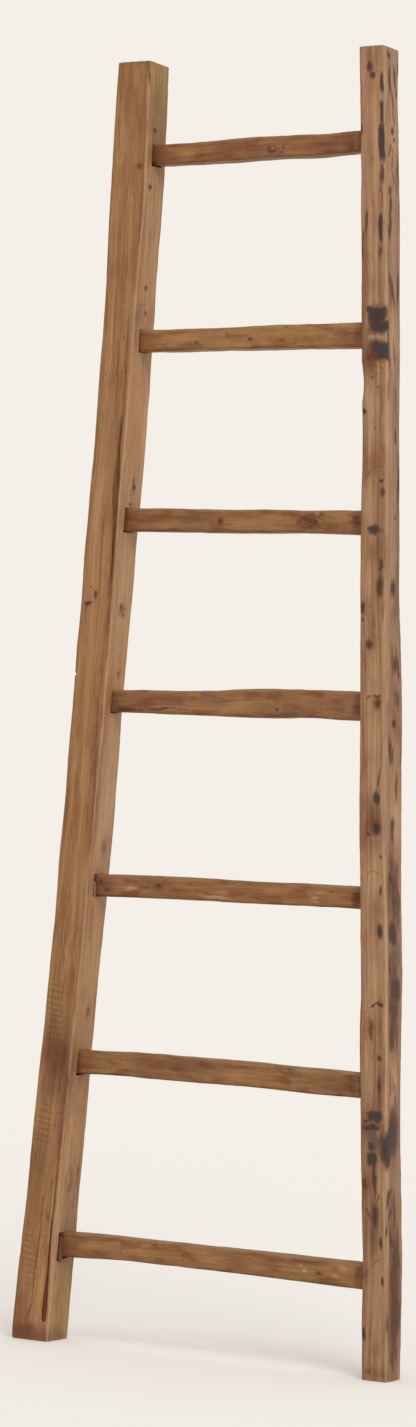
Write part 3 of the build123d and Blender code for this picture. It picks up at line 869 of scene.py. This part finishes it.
RIGHT_MARKS = {
    "knots": [
        (378.5, 319, 29, 38, 75), (374.8, 827.5, 15, 18, 90), (366.5, 411.5, 5, 7, 70),
        (383, 352, 21, 26, 60), (392.3, 131, 5, 12, 80), (376, 704, 12, 18, 60), (380, 931, 9, 22, 70),
        (393.5, 589, 9, 28, 70)],
    "stains": [
        (370.5, 66, 8, 14, 75), (373.5, 74, 7, 10, 80), (372, 160, 9, 18, 34), (367, 294, 4, 5, 45),
        (371, 309, 9, 8, 80), (374, 345, 12, 9, 50), (369, 356, 8, 12, 35), (373, 376.5, 3.5, 5, 60),
        (378, 387, 4, 6, 50), (365.5, 411.5, 5, 7, 95), (375.8, 427, 4, 5, 50), (382, 481, 5, 6, 85),
        (376, 529.5, 15, 12, 85), (371, 529, 8, 6, 70), (383, 531, 5, 5, 60), (362.8, 607, 6, 14, 95),
        (362, 619, 4, 5, 85), (373, 625, 4, 5, 55), (368, 645, 9, 11, 85), (376, 704, 8, 15, 85),
        (375.5, 798, 10, 18, 95), (374.8, 827.5, 11, 14, 100), (365.5, 834.5, 5, 5, 70),
        (381, 857, 4, 5, 75), (380, 931, 6.5, 17, 90), (379, 1058.5, 7, 8, 70), (366, 1120.5, 5, 5, 60),
        (371.5, 1146, 9, 11, 75), (374.5, 1216, 10, 30, 80), (386, 1150, 13, 46, 80),
        (391, 1130, 7, 30, 80), (364.5, 1182, 5, 14, 75), (364.6, 1334, 5, 18, 95), (368, 1371, 6, 4, 60),
        (398, 72, 3, 18, 70), (392.3, 131, 3.4, 8, 95), (394, 140, 3, 6, 80), (390, 191, 5, 14, 90),
        (396.6, 518, 3, 10, 60), (393.5, 589, 6, 22, 75), (393, 664, 4, 26, 70), (394.5, 699, 6, 24, 55),
        (391.8, 724, 4.4, 14, 80), (389.5, 878, 5, 18, 80), (393.5, 900, 8, 32, 60),
        (391.5, 933, 9.6, 30, 100), (394.5, 991, 10, 30, 100), (390.5, 1010, 5, 14, 90),
        (391.5, 1038, 6, 38, 85), (393, 100, 13, 160, 15), (393, 240, 12, 120, 20), (394, 700, 12, 120, 26),
        (393, 890, 12, 120, 50), (393, 1000, 13, 130, 50), (393, 1132, 13, 62, 80),
        (393, 1200, 12, 160, 26), (394, 1314, 12, 130, 50), (373, 110, 22, 150, 16), (372, 360, 22, 60, 28),
        (373, 700, 24, 120, 16), (373, 1180, 22, 160, 25), (373, 1300, 22, 120, 14),
        (390, 1225, 391, 1262, 2.6, 80), (394, 1232, 395, 1292, 3.2, 90), (397.5, 1222, 398, 1275, 2.4, 80),
        (391.5, 1262, 390.6, 1302, 2.6, 70), (396, 1286, 395, 1348, 4, 100),
        (392, 1300, 392.6, 1342, 2.8, 90), (399, 1300, 399, 1334, 2, 70), (391, 1345, 392.6, 1374, 3.4, 80),
        (396.6, 1342, 396, 1366, 2.6, 70), (372, 1150, 376, 1202, 4, 90),
        (362.6, 1177, 368.4, 1190, 2.6, 85), (391.4, 1188, 386.4, 1208, 2.6, 85),
        (392, 1206, 387.4, 1224, 2.2, 70), (380.6, 1190, 376.4, 1206, 2, 60),
        (376, 1194, 384, 1201, 1.8, 50), (393, 1236, 392, 1250, 5, 70), (366, 1205, 371, 1222, 2, 50),
        (382.4, 70, 382.3, 95, 4, 80), (381.8, 160, 382, 186, 4.6, 80), (381.6, 180, 381, 216, 3, 50),
        (362, 121, 362.3, 135, 3, 90), (367, 208, 366.5, 234, 2.6, 80), (363.5, 230, 363, 264, 2.4, 70),
        (380.4, 240, 379.6, 262, 3, 60), (379, 244, 379.5, 264, 2, 60), (383.3, 486, 383, 498, 3.4, 85),
        (381, 556, 380.5, 574, 4.4, 70), (380.3, 574, 380, 600, 6.5, 80), (369, 694.5, 382, 698.5, 3, 90),
        (362.5, 699.5, 370, 694.5, 2.4, 70), (379.5, 765, 376.5, 792, 3, 60),
        (380.5, 884, 380.3, 899, 3, 80), (375.5, 1003.5, 383.5, 1007, 4, 95),
        (370, 1008, 376, 1003.5, 3, 80), (371, 1020, 371, 1044, 3, 60), (379, 1076, 378.6, 1097, 3.4, 65),
        (373, 1158, 375, 1176, 5, 90), (375, 1172, 375.3, 1204, 2, 85), (362.6, 1196, 363, 1210, 2.4, 60),
        (381, 1236, 381.2, 1251, 3, 85), (381.7, 1274, 382.5, 1288, 3.4, 90),
        (391.5, 1118, 384.5, 1172, 8, 100), (390.5, 1150, 386.5, 1170, 5, 90),
        (389, 1188, 387.6, 1210, 3.4, 80), (389.3, 206, 390, 242, 2.6, 85), (390, 262, 391, 314, 2.4, 70),
        (398.6, 268, 398.4, 312, 3, 80), (393, 282, 394, 298, 2, 60), (396.5, 427, 396.6, 447, 2.6, 80),
        (387, 48, 390.6, 62, 2.6, 70), (388, 70, 389.4, 98, 2.2, 70), (391, 88, 393.4, 112, 2.2, 60),
        (390.6, 106, 389, 126, 2.2, 50), (395, 88, 396.4, 98, 2.4, 70), (392, 138, 388.4, 160, 2, 50),
        (395, 112, 397, 136, 1.8, 40), (391, 196, 390, 212, 3, 80), (399, 150, 399, 192, 2.4, 70),
        (396.4, 160, 397, 200, 1.8, 50), (393, 168, 394.6, 190, 2, 50), (390, 268, 395.6, 312, 3.4, 70),
        (387.4, 320, 391, 380, 2.6, 60), (394, 330, 396, 372, 2.4, 50), (396, 380, 397, 420, 2.2, 50),
        (400, 446, 399.6, 520, 2, 80), (399.6, 560, 400, 640, 2, 60), (388.3, 734, 388.6, 768, 3, 75),
        (391, 740, 390.5, 768, 1.6, 60), (394, 640, 396, 690, 2.4, 60), (390, 640, 391, 680, 2.4, 50),
        (396, 740, 397, 800, 2.2, 50), (393, 770, 392, 806, 2.6, 60), (396, 880, 397.6, 930, 2.4, 60),
        (388, 870, 388.6, 930, 2.2, 60), (389, 950, 389.6, 980, 3, 70), (396, 1020, 397, 1060, 2.4, 60),
        (395, 1080, 396.4, 1130, 2.4, 50), (393, 1176, 395, 1230, 2.6, 60), (390, 1240, 391, 1290, 2.6, 60),
        (387, 1300, 388, 1350, 2.6, 50), (398.6, 1240, 398.4, 1300, 2.2, 60),
        (390, 816, 390.3, 846, 2.8, 75), (390.5, 1066, 391, 1104, 2, 70), (393, 1070, 393.6, 1100, 1.4, 60),
        (389, 56, 390.5, 96, 2, 75), (393, 62, 396, 98, 2, 75), (391, 96, 394, 130, 1.8, 50),
        (396, 100, 393, 140, 1.6, 45), (391, 144, 396, 160, 1.4, 45), (394, 150, 391, 176, 1.5, 40),
        (387, 1222, 386.5, 1238, 2.4, 70), (389, 60, 388.6, 130, 1.4, 50)],
    "blots": [
        (382.2, 84, 4, 17, 80), (382, 112, 4.8, 25, 95), (382.3, 141, 6.6, 42, 100),
        (381, 228, 4.4, 34, 90), (379, 313.5, 18, 16, 100), (381, 326, 19.5, 13, 95),
        (382, 350.5, 18, 18.5, 100), (375, 1116.5, 16, 12, 100), (372.5, 1127, 18, 5, 95),
        (372, 1159.5, 12, 15, 85), (394.3, 988, 10, 20, 90)],
    "greys": [
        (380.5, 576, 5, 36, 70), (374.5, 1141, 18, 24, 75), (376, 530, 18, 14, 60), (395, 960, 11, 90, 55),
        (394, 1320, 11, 110, 25), (392, 1262, 12, 60, 25), (380, 332, 22, 50, 30), (374, 1120, 20, 26, 40)],
    "checks": [
        (1.6, 80, 381, 731, 381.3, 752, 380.8, 773), (1.4, 50, 366, 352, 370, 358, 374, 365),
        (1.5, 60, 367, 367, 372, 366, 377, 366, 384, 369), (1.4, 60, 389, 376, 389, 399),
        (1.5, 70, 368.6, 478, 372, 471, 376, 468, 381, 466),
        (1.3, 55, 365, 874.5, 370, 871, 376, 873, 382, 875), (1.2, 45, 366, 1020, 373, 1021),
        (1.2, 45, 367, 1029.5, 373, 1030),
        (1.6, 65, 364, 1277, 366, 1272, 370, 1268, 375, 1262.6, 380, 1259), (1.4, 50, 371, 836, 376, 841),
        (1.2, 70, 376.8, 1160, 377, 1194)],
    "reds": [
        (371, 358, 14, 22, 85), (375, 1164, 16, 22, 35), (374, 1214, 14, 36, 40), (371, 1190, 14, 60, 50),
        (366, 1275, 9, 24, 70), (390, 224, 4, 44, 70), (371, 1031, 7, 30, 70), (374, 703, 14, 20, 40),
        (372, 66, 10, 26, 50), (390, 860, 8, 60, 50), (368, 645, 12, 16, 50), (394, 1312, 14, 150, 100),
        (378, 1090, 6, 30, 50), (394, 1000, 12, 160, 35), (372, 1050, 8, 60, 35), (371, 150, 10, 80, 30),
        (366, 250, 6, 70, 50), (364, 608, 8, 22, 50)],
    "shades": [
        (393, 920, 14, 120, 60), (393, 1134, 14, 70, 100), (374, 1134, 30, 76, 100), (374, 822, 24, 50, 80),
        (372, 1330, 22, 80, 30), (374, 1230, 22, 60, 60), (394, 950, 12, 60, 40), (373, 340, 24, 60, 40),
        (380, 1374, 44, 14, 50), (393, 1010, 14, 100, 100), (394, 1190, 14, 130, 55),
        (394, 1300, 14, 160, 100), (397, 600, 8, 90, 50), (392, 700, 6, 70, 40), (396, 420, 5, 160, 30),
        (390, 250, 6, 90, 30), (370, 1100, 20, 90, 15), (366, 1185, 12, 70, 45), (366, 120, 8, 110, 20),
        (390, 545, 6, 60, 30), (379, 1090, 10, 70, 30), (376, 590, 12, 60, 15), (389, 1230, 6, 60, 40),
        (388, 900, 5, 80, 40)],
    "lights": [
        (371, 120, 20, 120, 90), (371, 578, 18, 50, 70), (371, 735, 22, 90, 90), (372, 672, 18, 40, 70),
        (372, 940, 22, 90, 50), (393, 120, 13, 130, 100), (393, 235, 12, 60, 80), (394, 815, 12, 90, 100),
        (394, 1084, 13, 50, 100), (394, 1185, 12, 50, 60), (393, 340, 13, 70, 100), (372, 180, 22, 110, 80),
        (374, 250, 20, 90, 40), (374, 130, 18, 60, 50), (372, 410, 22, 80, 40), (372, 500, 22, 60, 50),
        (372, 770, 22, 60, 60), (372, 877, 22, 70, 100), (372, 700, 22, 60, 80), (372, 980, 22, 90, 60),
        # The narrow lights at x 383 to 386 are a painted highlight along the right stile's front corner
        (374, 1060, 20, 60, 40), (372, 1310, 22, 90, 50), (385.5, 420, 5, 200, 70),
        (385.5, 700, 5, 300, 70), (386, 960, 5, 200, 70), (390, 440, 10, 90, 50), (385, 80, 5, 90, 70),
        (383.5, 200, 4, 160, 60), (393, 860, 10, 50, 40)],
    "pales": [
        (379, 337, 23, 5, 100), (366.6, 322, 3, 26, 70), (378, 321, 9, 2, 50), (377, 1139, 3, 30, 50),
        (370, 660, 10, 60, 30), (374.8, 838, 16, 5, 50), (375, 1121.5, 17, 2, 90), (379, 1135, 4, 26, 50),
        (370, 780, 12, 60, 30), (379, 1180, 4, 50, 60), (370, 960, 14, 60, 30), (393, 545, 5, 120, 40),
        (372, 300, 14, 20, 30)],
}
# At each rung's right end, beside the right stile, the shades are a painted shadow with some stain; the reds
# and shades at its left end are partly painted shade by the mouth
RUNG_MARKS = [
    {"knots": [(271.2, 148.6, 11, 11, 100)],
     "stains": [
         (283.5, 147, 4, 5, 60), (281, 153, 4, 2.6, 60), (154, 163, 8, 8, 70), (233, 140, 7, 2.4, 60),
         (222, 141, 5, 2.4, 50), (352, 147, 3, 4, 50)],
     "pales": [(271.2, 149, 3, 3, 90)],
     "greys": [(265, 159.5, 80, 4, 55), (290, 156, 20, 5, 30)],
     "reds": [
         (156, 155, 26, 30, 95), (228, 152, 40, 18, 50), (252, 152, 22, 14, 55), (235, 145, 30, 8, 40),
         (325, 146, 50, 14, 30), (352, 142, 20, 12, 60)],
     "lights": [
         (300, 149, 50, 18, 50), (186, 154, 26, 14, 80), (208, 150, 20, 10, 50), (292, 148, 34, 12, 50),
         (240, 141, 30, 4, 50)],
     "shades": [(350, 146, 18, 28, 80), (158, 158, 24, 26, 50), (330, 152, 40, 8, 30)]},
    {"knots": [
         (196.5, 342.2, 6, 4.5, 90), (250.8, 339, 7, 5.5, 100), (227, 333.4, 5, 3, 70),
         (282, 340, 9, 5, 60), (287, 327, 6, 5, 60)],
     "stains": [
         (196.5, 342.2, 3, 2.4, 60), (250.8, 339, 3.4, 3, 80), (286, 331, 350, 333, 1.2, 30),
         (284, 336, 350, 337.6, 1.2, 30), (288, 343.6, 350, 343, 1.2, 25), (200, 336, 245, 334.6, 1.2, 20)],
     "reds": [(146, 342, 22, 26, 50), (255, 341, 20, 6, 30)],
     "lights": [(184, 338, 46, 12, 60), (236, 342, 70, 10, 45), (300, 333, 60, 8, 35)],
     "olives": [(300, 338, 110, 26, 40), (180, 345, 60, 12, 30)],
     "shades": [(345, 337, 34, 30, 40), (357, 337, 14, 30, 100), (140, 342, 8, 26, 60)]},
    {"knots": [(220.6, 521, 9, 11, 100), (311, 522, 30, 18, 55)],
     "stains": [
         (220.6, 521, 4, 5, 55), (298, 523, 7, 7, 45), (306, 519, 6, 6, 45), (316, 522, 5, 7, 55),
         (311, 527, 7, 4, 45), (322, 514.5, 8, 4, 40), (301, 528, 5, 3, 40), (355, 518, 8, 9, 60)],
     "pales": [(303, 514, 6, 3, 40), (317, 513.5, 5, 3, 50), (322, 522, 3, 6, 40)],
     "reds": [(132, 522, 22, 26, 75), (150, 518, 40, 12, 40), (335, 528, 26, 6, 40)],
     "lights": [
         (246, 525, 40, 12, 70), (276, 519, 40, 10, 50), (340, 518, 20, 10, 40), (170, 524, 30, 8, 40)],
     "shades": [(356, 523, 11, 28, 95), (190, 520, 50, 16, 45), (311, 522, 30, 18, 30)]},
    {"stains": [
         (278, 710, 5, 4, 75), (119, 711, 12, 6, 80), (112, 709.6, 148, 709.8, 4.4, 85),
         (140, 710, 178, 708.6, 3, 70), (176, 708.6, 200, 710.6, 2, 40)],
     "greys": [
         (205, 695, 16, 10, 55), (215, 701, 20, 6, 40), (276, 693, 18, 6, 55), (346, 697, 18, 12, 40),
         (290, 713, 50, 7, 50), (130, 691.5, 50, 3, 40), (262, 711, 20, 6, 40)],
     "reds": [(136, 700, 44, 18, 60), (168, 698, 30, 12, 45), (116, 702, 10, 24, 60)],
     "lights": [(240, 707, 40, 14, 55), (296, 700, 40, 12, 50), (192, 702, 24, 10, 35)],
     "shades": [(356, 707, 11, 30, 95), (118, 708, 22, 12, 50)]},
    {"knots": [(158, 886, 16, 9, 100)],
     "stains": [
         (159.5, 884.8, 5, 3.4, 80), (148, 887, 9, 7, 45), (101, 881, 6, 6, 60), (108, 890, 8, 5, 50),
         (97, 892, 6, 8, 50), (331, 892, 4, 2.6, 50)],
     "greys": [(155, 889, 26, 8, 30), (112, 885, 16, 12, 35)],
     "pales": [
         (133, 887.6, 14, 5, 85), (128, 890, 8, 4, 60), (214, 897, 34, 4.4, 70), (222, 893, 16, 4, 40),
         (315, 898, 9, 4, 85), (320, 893.6, 12, 2.4, 50), (316, 902, 12, 2.4, 50)],
     "reds": [(104, 886, 26, 26, 80), (250, 890, 34, 8, 35), (300, 897, 40, 8, 30), (180, 889, 30, 8, 30)],
     "lights": [(270, 892, 50, 12, 50), (190, 886, 40, 10, 40), (120, 880, 24, 6, 40)],
     "shades": [(356, 898, 10, 28, 100), (150, 881, 30, 6, 30)]},
    {"stains": [(290, 1069, 6, 4, 35), (300, 1075, 7, 4, 35), (283, 1076, 5, 4, 30)],
     "greys": [(293, 1072, 30, 12, 40), (322, 1084, 56, 16, 35), (190, 1060, 60, 5, 30)],
     "pales": [(286, 1070, 8, 3, 45), (298, 1070, 8, 3, 45), (292, 1078, 10, 3, 40)],
     "reds": [
         (88, 1062, 24, 26, 60), (160, 1064, 60, 14, 65), (176, 1076, 50, 8, 40), (330, 1083, 50, 14, 30)],
     "lights": [
         (240, 1077, 60, 20, 60), (238, 1077, 50, 14, 80), (256, 1084, 40, 8, 50), (124, 1062, 24, 8, 30)],
     "olives": [(230, 1072, 70, 20, 70), (310, 1080, 60, 20, 40)],
     "shades": [(186, 1066, 66, 20, 60), (353, 1084, 18, 30, 75)]},
    {"knots": [(319, 1274, 14, 8, 80), (124, 1250.4, 8, 7, 55)],
     "stains": [
         (319, 1274, 7, 4, 60), (154, 1244.4, 4, 3, 60), (282, 1278, 8, 3, 35), (341, 1265, 8, 4, 25),
         (226, 1254, 246, 1262, 1.6, 40), (240, 1255, 258, 1263, 1.6, 40), (256, 1262, 268, 1270, 1.6, 35),
         (236, 1252, 300, 1258, 2.4, 30)],
     "checks": [(1.6, 60, 287.5, 1257, 287, 1283)],
     "pales": [
         (123.6, 1250.6, 4, 3.4, 100), (305, 1270, 6, 5, 90), (301, 1266, 4, 3, 60), (342, 1269, 10, 8, 60),
         (334, 1275, 10, 5, 50)],
     "greys": [(338, 1271, 22, 12, 40), (72, 1238, 22, 8, 40)],
     "reds": [
         (244, 1262, 60, 22, 45), (70, 1246, 22, 28, 70), (90, 1255, 40, 5, 60), (250, 1263, 44, 10, 45),
         (350, 1276, 20, 8, 35)],
     "lights": [
         (340, 1270, 34, 20, 60), (140, 1252, 50, 10, 50), (215, 1260, 50, 10, 50), (262, 1270, 40, 8, 50),
         (90, 1246, 20, 8, 40)],
     "shades": [(358, 1276, 9, 32, 95), (64, 1246, 12, 28, 50), (300, 1262, 60, 4, 35)]},
]
# Shade on every rung, as (half height, half length, strength)
RIGHT_END_SHADE, LEFT_END_SHADE, UNDER_SHADE = (0.05, 0.008, 0.9), (0.05, 0.006, 0.6), (0.0055, 0.5, 0.45)

left_marks = lay(on_stile(left_ridge, LEFT_FRONT_Y), LEFT_MARKS)
right_marks = lay(on_stile(right_ridge, RIGHT_FRONT_Y), RIGHT_MARKS, STREAK_WIDEN)
rung_marks = []
for n, rows in enumerate(RUNG_MARKS):
    start, end = rung_span(n)
    tall, middle = RUNG_HEIGHTS[n] * MM, (start + end) / 2 * MM
    marks = lay(on_rung(n), rows)
    for u, v, (a, b, strength) in (
            (-tall / 2, end * MM, RIGHT_END_SHADE), (-tall / 2, start * MM, LEFT_END_SHADE),
            (-tall, middle, UNDER_SHADE)):
        marks["shades"].append((u, v, a, b, 0, strength))
    rung_marks.append(marks)

# Woods
RUNG_TONES = [
    (135, 92, 61), (150, 109, 71), (140, 100, 66), (141, 100, 67), (139, 97, 63), (140, 101, 67),
    (141, 101, 66)]
RUNG_LIGHTER, RUNG_MIDDLE, RUNG_DARKER = (26, 24, 16), (6, 4, -2), (-18, -18, -14)
left_wood = wood("stile_left_wood", (176, 131, 88), (158, 115, 74), (134, 93, 57), 1, left_marks,
                 side_tint=(180, 140, 103), mottle=(26, 8, 0.34), hairs=0.8)
right_wood = wood("stile_right_wood", (184, 143, 108), (160, 121, 88), (130, 92, 62), 2, right_marks,
                  side_tint=(162, 126, 96), mottle=(30, 11, 0.55), hairs=0.65, rubbed_and_highlight_tone=(192, 153, 118))
rung_woods = []
for n, own in enumerate(RUNG_TONES):
    light, middle, dark = (np.add(own, step) for step in (RUNG_LIGHTER, RUNG_MIDDLE, RUNG_DARKER))
    rung_woods.append(wood(
        "rung_%d_wood" % (n + 1), light, middle, dark, 5 + n, rung_marks[n], rough=0.58, bold=0.58,
        brisk=3.2, mottle=(60, 20, 0.8), hairs=0.2, glow=(170, 122, 76), rubbed_and_highlight_tone=(168, 128, 90)))
wedge_wood = bare_wood("wedge_wood", (122, 82, 66), (92, 58, 46), 3)
pale_wedge_wood = bare_wood("wedge_pale_wood", (172, 132, 98), (140, 100, 70), 4)
ends = end_grain("end_grain", (150, 112, 78), (104, 70, 46), 1)
hollow = bare_wood("mortise_wood", (168, 118, 82), (120, 78, 52), 5)
# Redder wood inside the splits and the foot slot, made darker also as painted shade in these recesses
split = bare_wood("split_wood_and_painted_shade", (130, 80, 50), (88, 52, 33), 6)

# Cuts into the left stile, in rows of height, near and far offset, near and far depth, upwards
FOOT_SPLIT = [
    (30, 7.2, 10.6, 3, 2), (32, 5.6, 12.2, 5, 4), (37, 4.9, 13.2, 6, 4.5), (50, 4.5, 13.4, 6.5, 4),
    (62, 4.6, 13.2, 6.5, 3), (74, 5.0, 12.4, 6.5, 2.6), (88, 5.4, 11.0, 6, 2.2), (112, 5.9, 9.8, 6, 2),
    (134, 6.2, 9.6, 5, 2), (171, 6.3, 9.2, 4, 1.6), (196, 5.6, 7.8, 3, 1), (230, 5.0, 5.8, 2, 1)]
LONG_CHECK = [
    (1183, 6.5, 7.3, 2, 1.4), (1216, 5.6, 7.6, 3, 1.6), (1241, 5.0, 8.4, 4, 1.2),
    (1265, 4.2, 9.4, 4.5, 0.8), (1290, 3.4, 11.0, 5, 0.4), (1312, 3.0, 13.6, 5, 0.2),
    (1334, 3.0, 15.0, 5, 0.2), (1352, 4.2, 13.6, 5, 0.2), (1366, 6.4, 12.2, 5, 0.6),
    (1380, 7.6, 11.4, 4.5, 1.2), (1398, 8.0, 11.0, 4, 1.6), (1420, 8.0, 10.4, 3, 1.6),
    (1446, 8.0, 8.8, 1.4, 1)]
CUT_OVER = 4.0
MOUTH_OVER, MOUTH_TOP_SLOPE = 20.0, 1.0
MOUTH_FRONT_DROP, MOUTH_BACK_DROP, MOUTH_TOP_GAP = 0.75, 0.4, 0.4


def furrow(bm, rows):
    """A split beside the inner front edge, with a floor that falls towards that edge."""
    rings = []
    over = LEFT_FRONT_Y - CUT_OVER
    for h, near, far, deep, shallow in rows:
        edge = float(left_ridge(h))
        outline = ((edge - far, over), (edge - near, over),
                   (edge - near, LEFT_FRONT_Y + deep), (edge - far, LEFT_FRONT_Y + shallow))
        rings.append([bm.verts.new(Vector((x, y, h)) * MM) for x, y in outline])
    sides = [bm.faces.new(rings[0]), bm.faces.new(rings[-1])]
    for low, high in zip(rings, rings[1:]):
        for k in range(4):
            sides.append(bm.faces.new((low[k], low[(k + 1) % 4], high[(k + 1) % 4], high[k])))
    for face in sides:
        face.material_index = 1


cutter = bmesh.new()
furrow(cutter, FOOT_SPLIT)
furrow(cutter, LONG_CHECK)
edge = float(left_outer(NICK_LEVEL))
nick = [(edge + NICK_BITE, NICK_LEVEL), (edge - NICK_BITE, NICK_LEVEL + NICK_HEIGHT),
        (edge - NICK_BITE, NICK_LEVEL - NICK_HEIGHT)]
prism(cutter, nick, LEFT_FRONT_Y - CUT_OVER, LEFT_FRONT_Y + NICK_RUN, 1)
for n in range(len(RUNG_LEVELS)):
    start, end = rung_span(n)
    low, high = float(rung_edge(n, start, -1)), float(rung_edge(n, start, 1)) + MOUTH_TOP_GAP
    front, back = RUNG_FRONT_Y - MOUTH_GAPS[n], RUNG_BACK_Y + FIT
    drop = MOUTH_DROPS[n] * MOUTH_FRONT_DROP
    mouth = [(front, low - drop), (back, low - drop * MOUTH_BACK_DROP), (back, high),
             (front + MOUTH_TOP_SLOPE, high)]
    prism(cutter, mouth, start - MOUTH_DEPTH, start + MOUTH_OVER, 0)

for piece, material in zip([stile_left, stile_right] + rungs, [left_wood, right_wood] + rung_woods):
    piece.data.materials.append(material)
    piece.data.materials.append(ends)
carve(stile_left, cutter, hollow, split)
crisp(stile_left)
for piece in rungs + [stile_right]:
    piece.data.polygons.foreach_set("use_smooth", [True] * len(piece.data.polygons))


def dress_stile(piece, marks, outer, inner, deep, seed):
    def centred(x, y, z):
        return x - (outer(z / MM) + inner(z / MM)) / 2 * MM, y, z

    def thick(v):
        return np.abs(outer(v / MM) - inner(v / MM)) * MM

    dress(piece, marks, centred, thick, deep, seed)


def dress_rung(piece, marks, index):
    def centred(x, y, z):
        return z - rung_edge(index, x / MM, 0) * MM, y, x

    def thick(v):
        return (rung_edge(index, v / MM, 1) - rung_edge(index, v / MM, -1)) * MM

    dress(piece, marks, centred, thick, (RUNG_BACK_Y - RUNG_FRONT_Y) * MM, 23 + index, RUNG_FRONT_DARKNESS)


dress_stile(stile_left, left_marks, left_outer, left_inner, (BACK_Y - LEFT_FRONT_Y) * MM, 3)
dress_stile(stile_right, right_marks, right_outer, right_inner, (BACK_Y - RIGHT_FRONT_Y) * MM, 13)
for n, piece in enumerate(rungs):
    dress_rung(piece, rung_marks[n], n)

shown_as = [(stile_left, "stile_left", "stile_wood"), (stile_right, "stile_right", "stile_wood_stained")]
for n, piece in enumerate(rungs):
    shown_as.append((piece, "rung_%d" % (n + 1), "rung_wood"))
for piece, node, finish in shown_as:
    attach(piece, "root")
    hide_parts(node)
for node, material in (("wedge_low", wedge_wood), ("wedge_mid", pale_wedge_wood)):
    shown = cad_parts[node]
    shown.data.materials.clear()
    shown.data.materials.append(material)

# Studio
FLOOR_HALF, FLOOR_COLOUR = 60.0, (0.956, 0.92, 0.843, 1)
PAPER = (244, 240, 231)
SKY_STRENGTH = 0.74
SUN_STRENGTH, SUN_SPREAD, SUN_TURN, SUN_HEIGHT = 1.05, math.radians(32), math.radians(48), math.radians(38)

ground = bpy.data.meshes.new("floor")
square = [(FLOOR_HALF * x, FLOOR_HALF * y, 0) for x, y in ((-1, -1), (1, -1), (1, 1), (-1, 1))]
ground.from_pydata(square, [], [(0, 1, 2, 3)])
floor = bpy.data.objects.new("floor", ground)
bpy.context.collection.objects.link(floor)
matt = Nodes(bpy.data.materials.new("floor_pale"))
base = matt.add("ShaderNodeBsdfDiffuse", None, Color=FLOOR_COLOUR)
matt.add("ShaderNodeOutputMaterial", None, Surface=base.outputs[0])
ground.materials.append(matt.holder)
floor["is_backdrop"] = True

world = bpy.data.worlds.new("studio")
bpy.context.scene.world = world
sky = Nodes(world)
lit = sky.add("ShaderNodeBackground", None, Color=(1, 1, 1, 1), Strength=SKY_STRENGTH)
seen = sky.add("ShaderNodeBackground", None, Color=tone(*PAPER))
rays = sky.add("ShaderNodeLightPath").outputs
straight = sky.math("MAXIMUM", rays["Is Camera Ray"], rays["Is Glossy Ray"])
straight = sky.math("MAXIMUM", straight, rays["Is Transmission Ray"])
choose = sky.add("ShaderNodeMixShader", None, i0=straight, i1=lit.outputs[0], i2=seen.outputs[0])
sky.add("ShaderNodeOutputWorld", None, i0=choose.outputs[0])

lamp_data = bpy.data.lights.new("soft_sun", "SUN")
lamp_data.energy = SUN_STRENGTH
lamp_data.angle = SUN_SPREAD
lamp = bpy.data.objects.new("soft_sun", lamp_data)
bpy.context.collection.objects.link(lamp)
toward = Vector((math.sin(SUN_TURN), -math.cos(SUN_TURN), math.tan(SUN_HEIGHT))).normalized()
lamp.rotation_mode = "QUATERNION"
lamp.rotation_quaternion = toward.to_track_quat("Z", "Y")

bpy.context.scene.view_settings.view_transform = "Standard"

low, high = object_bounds()
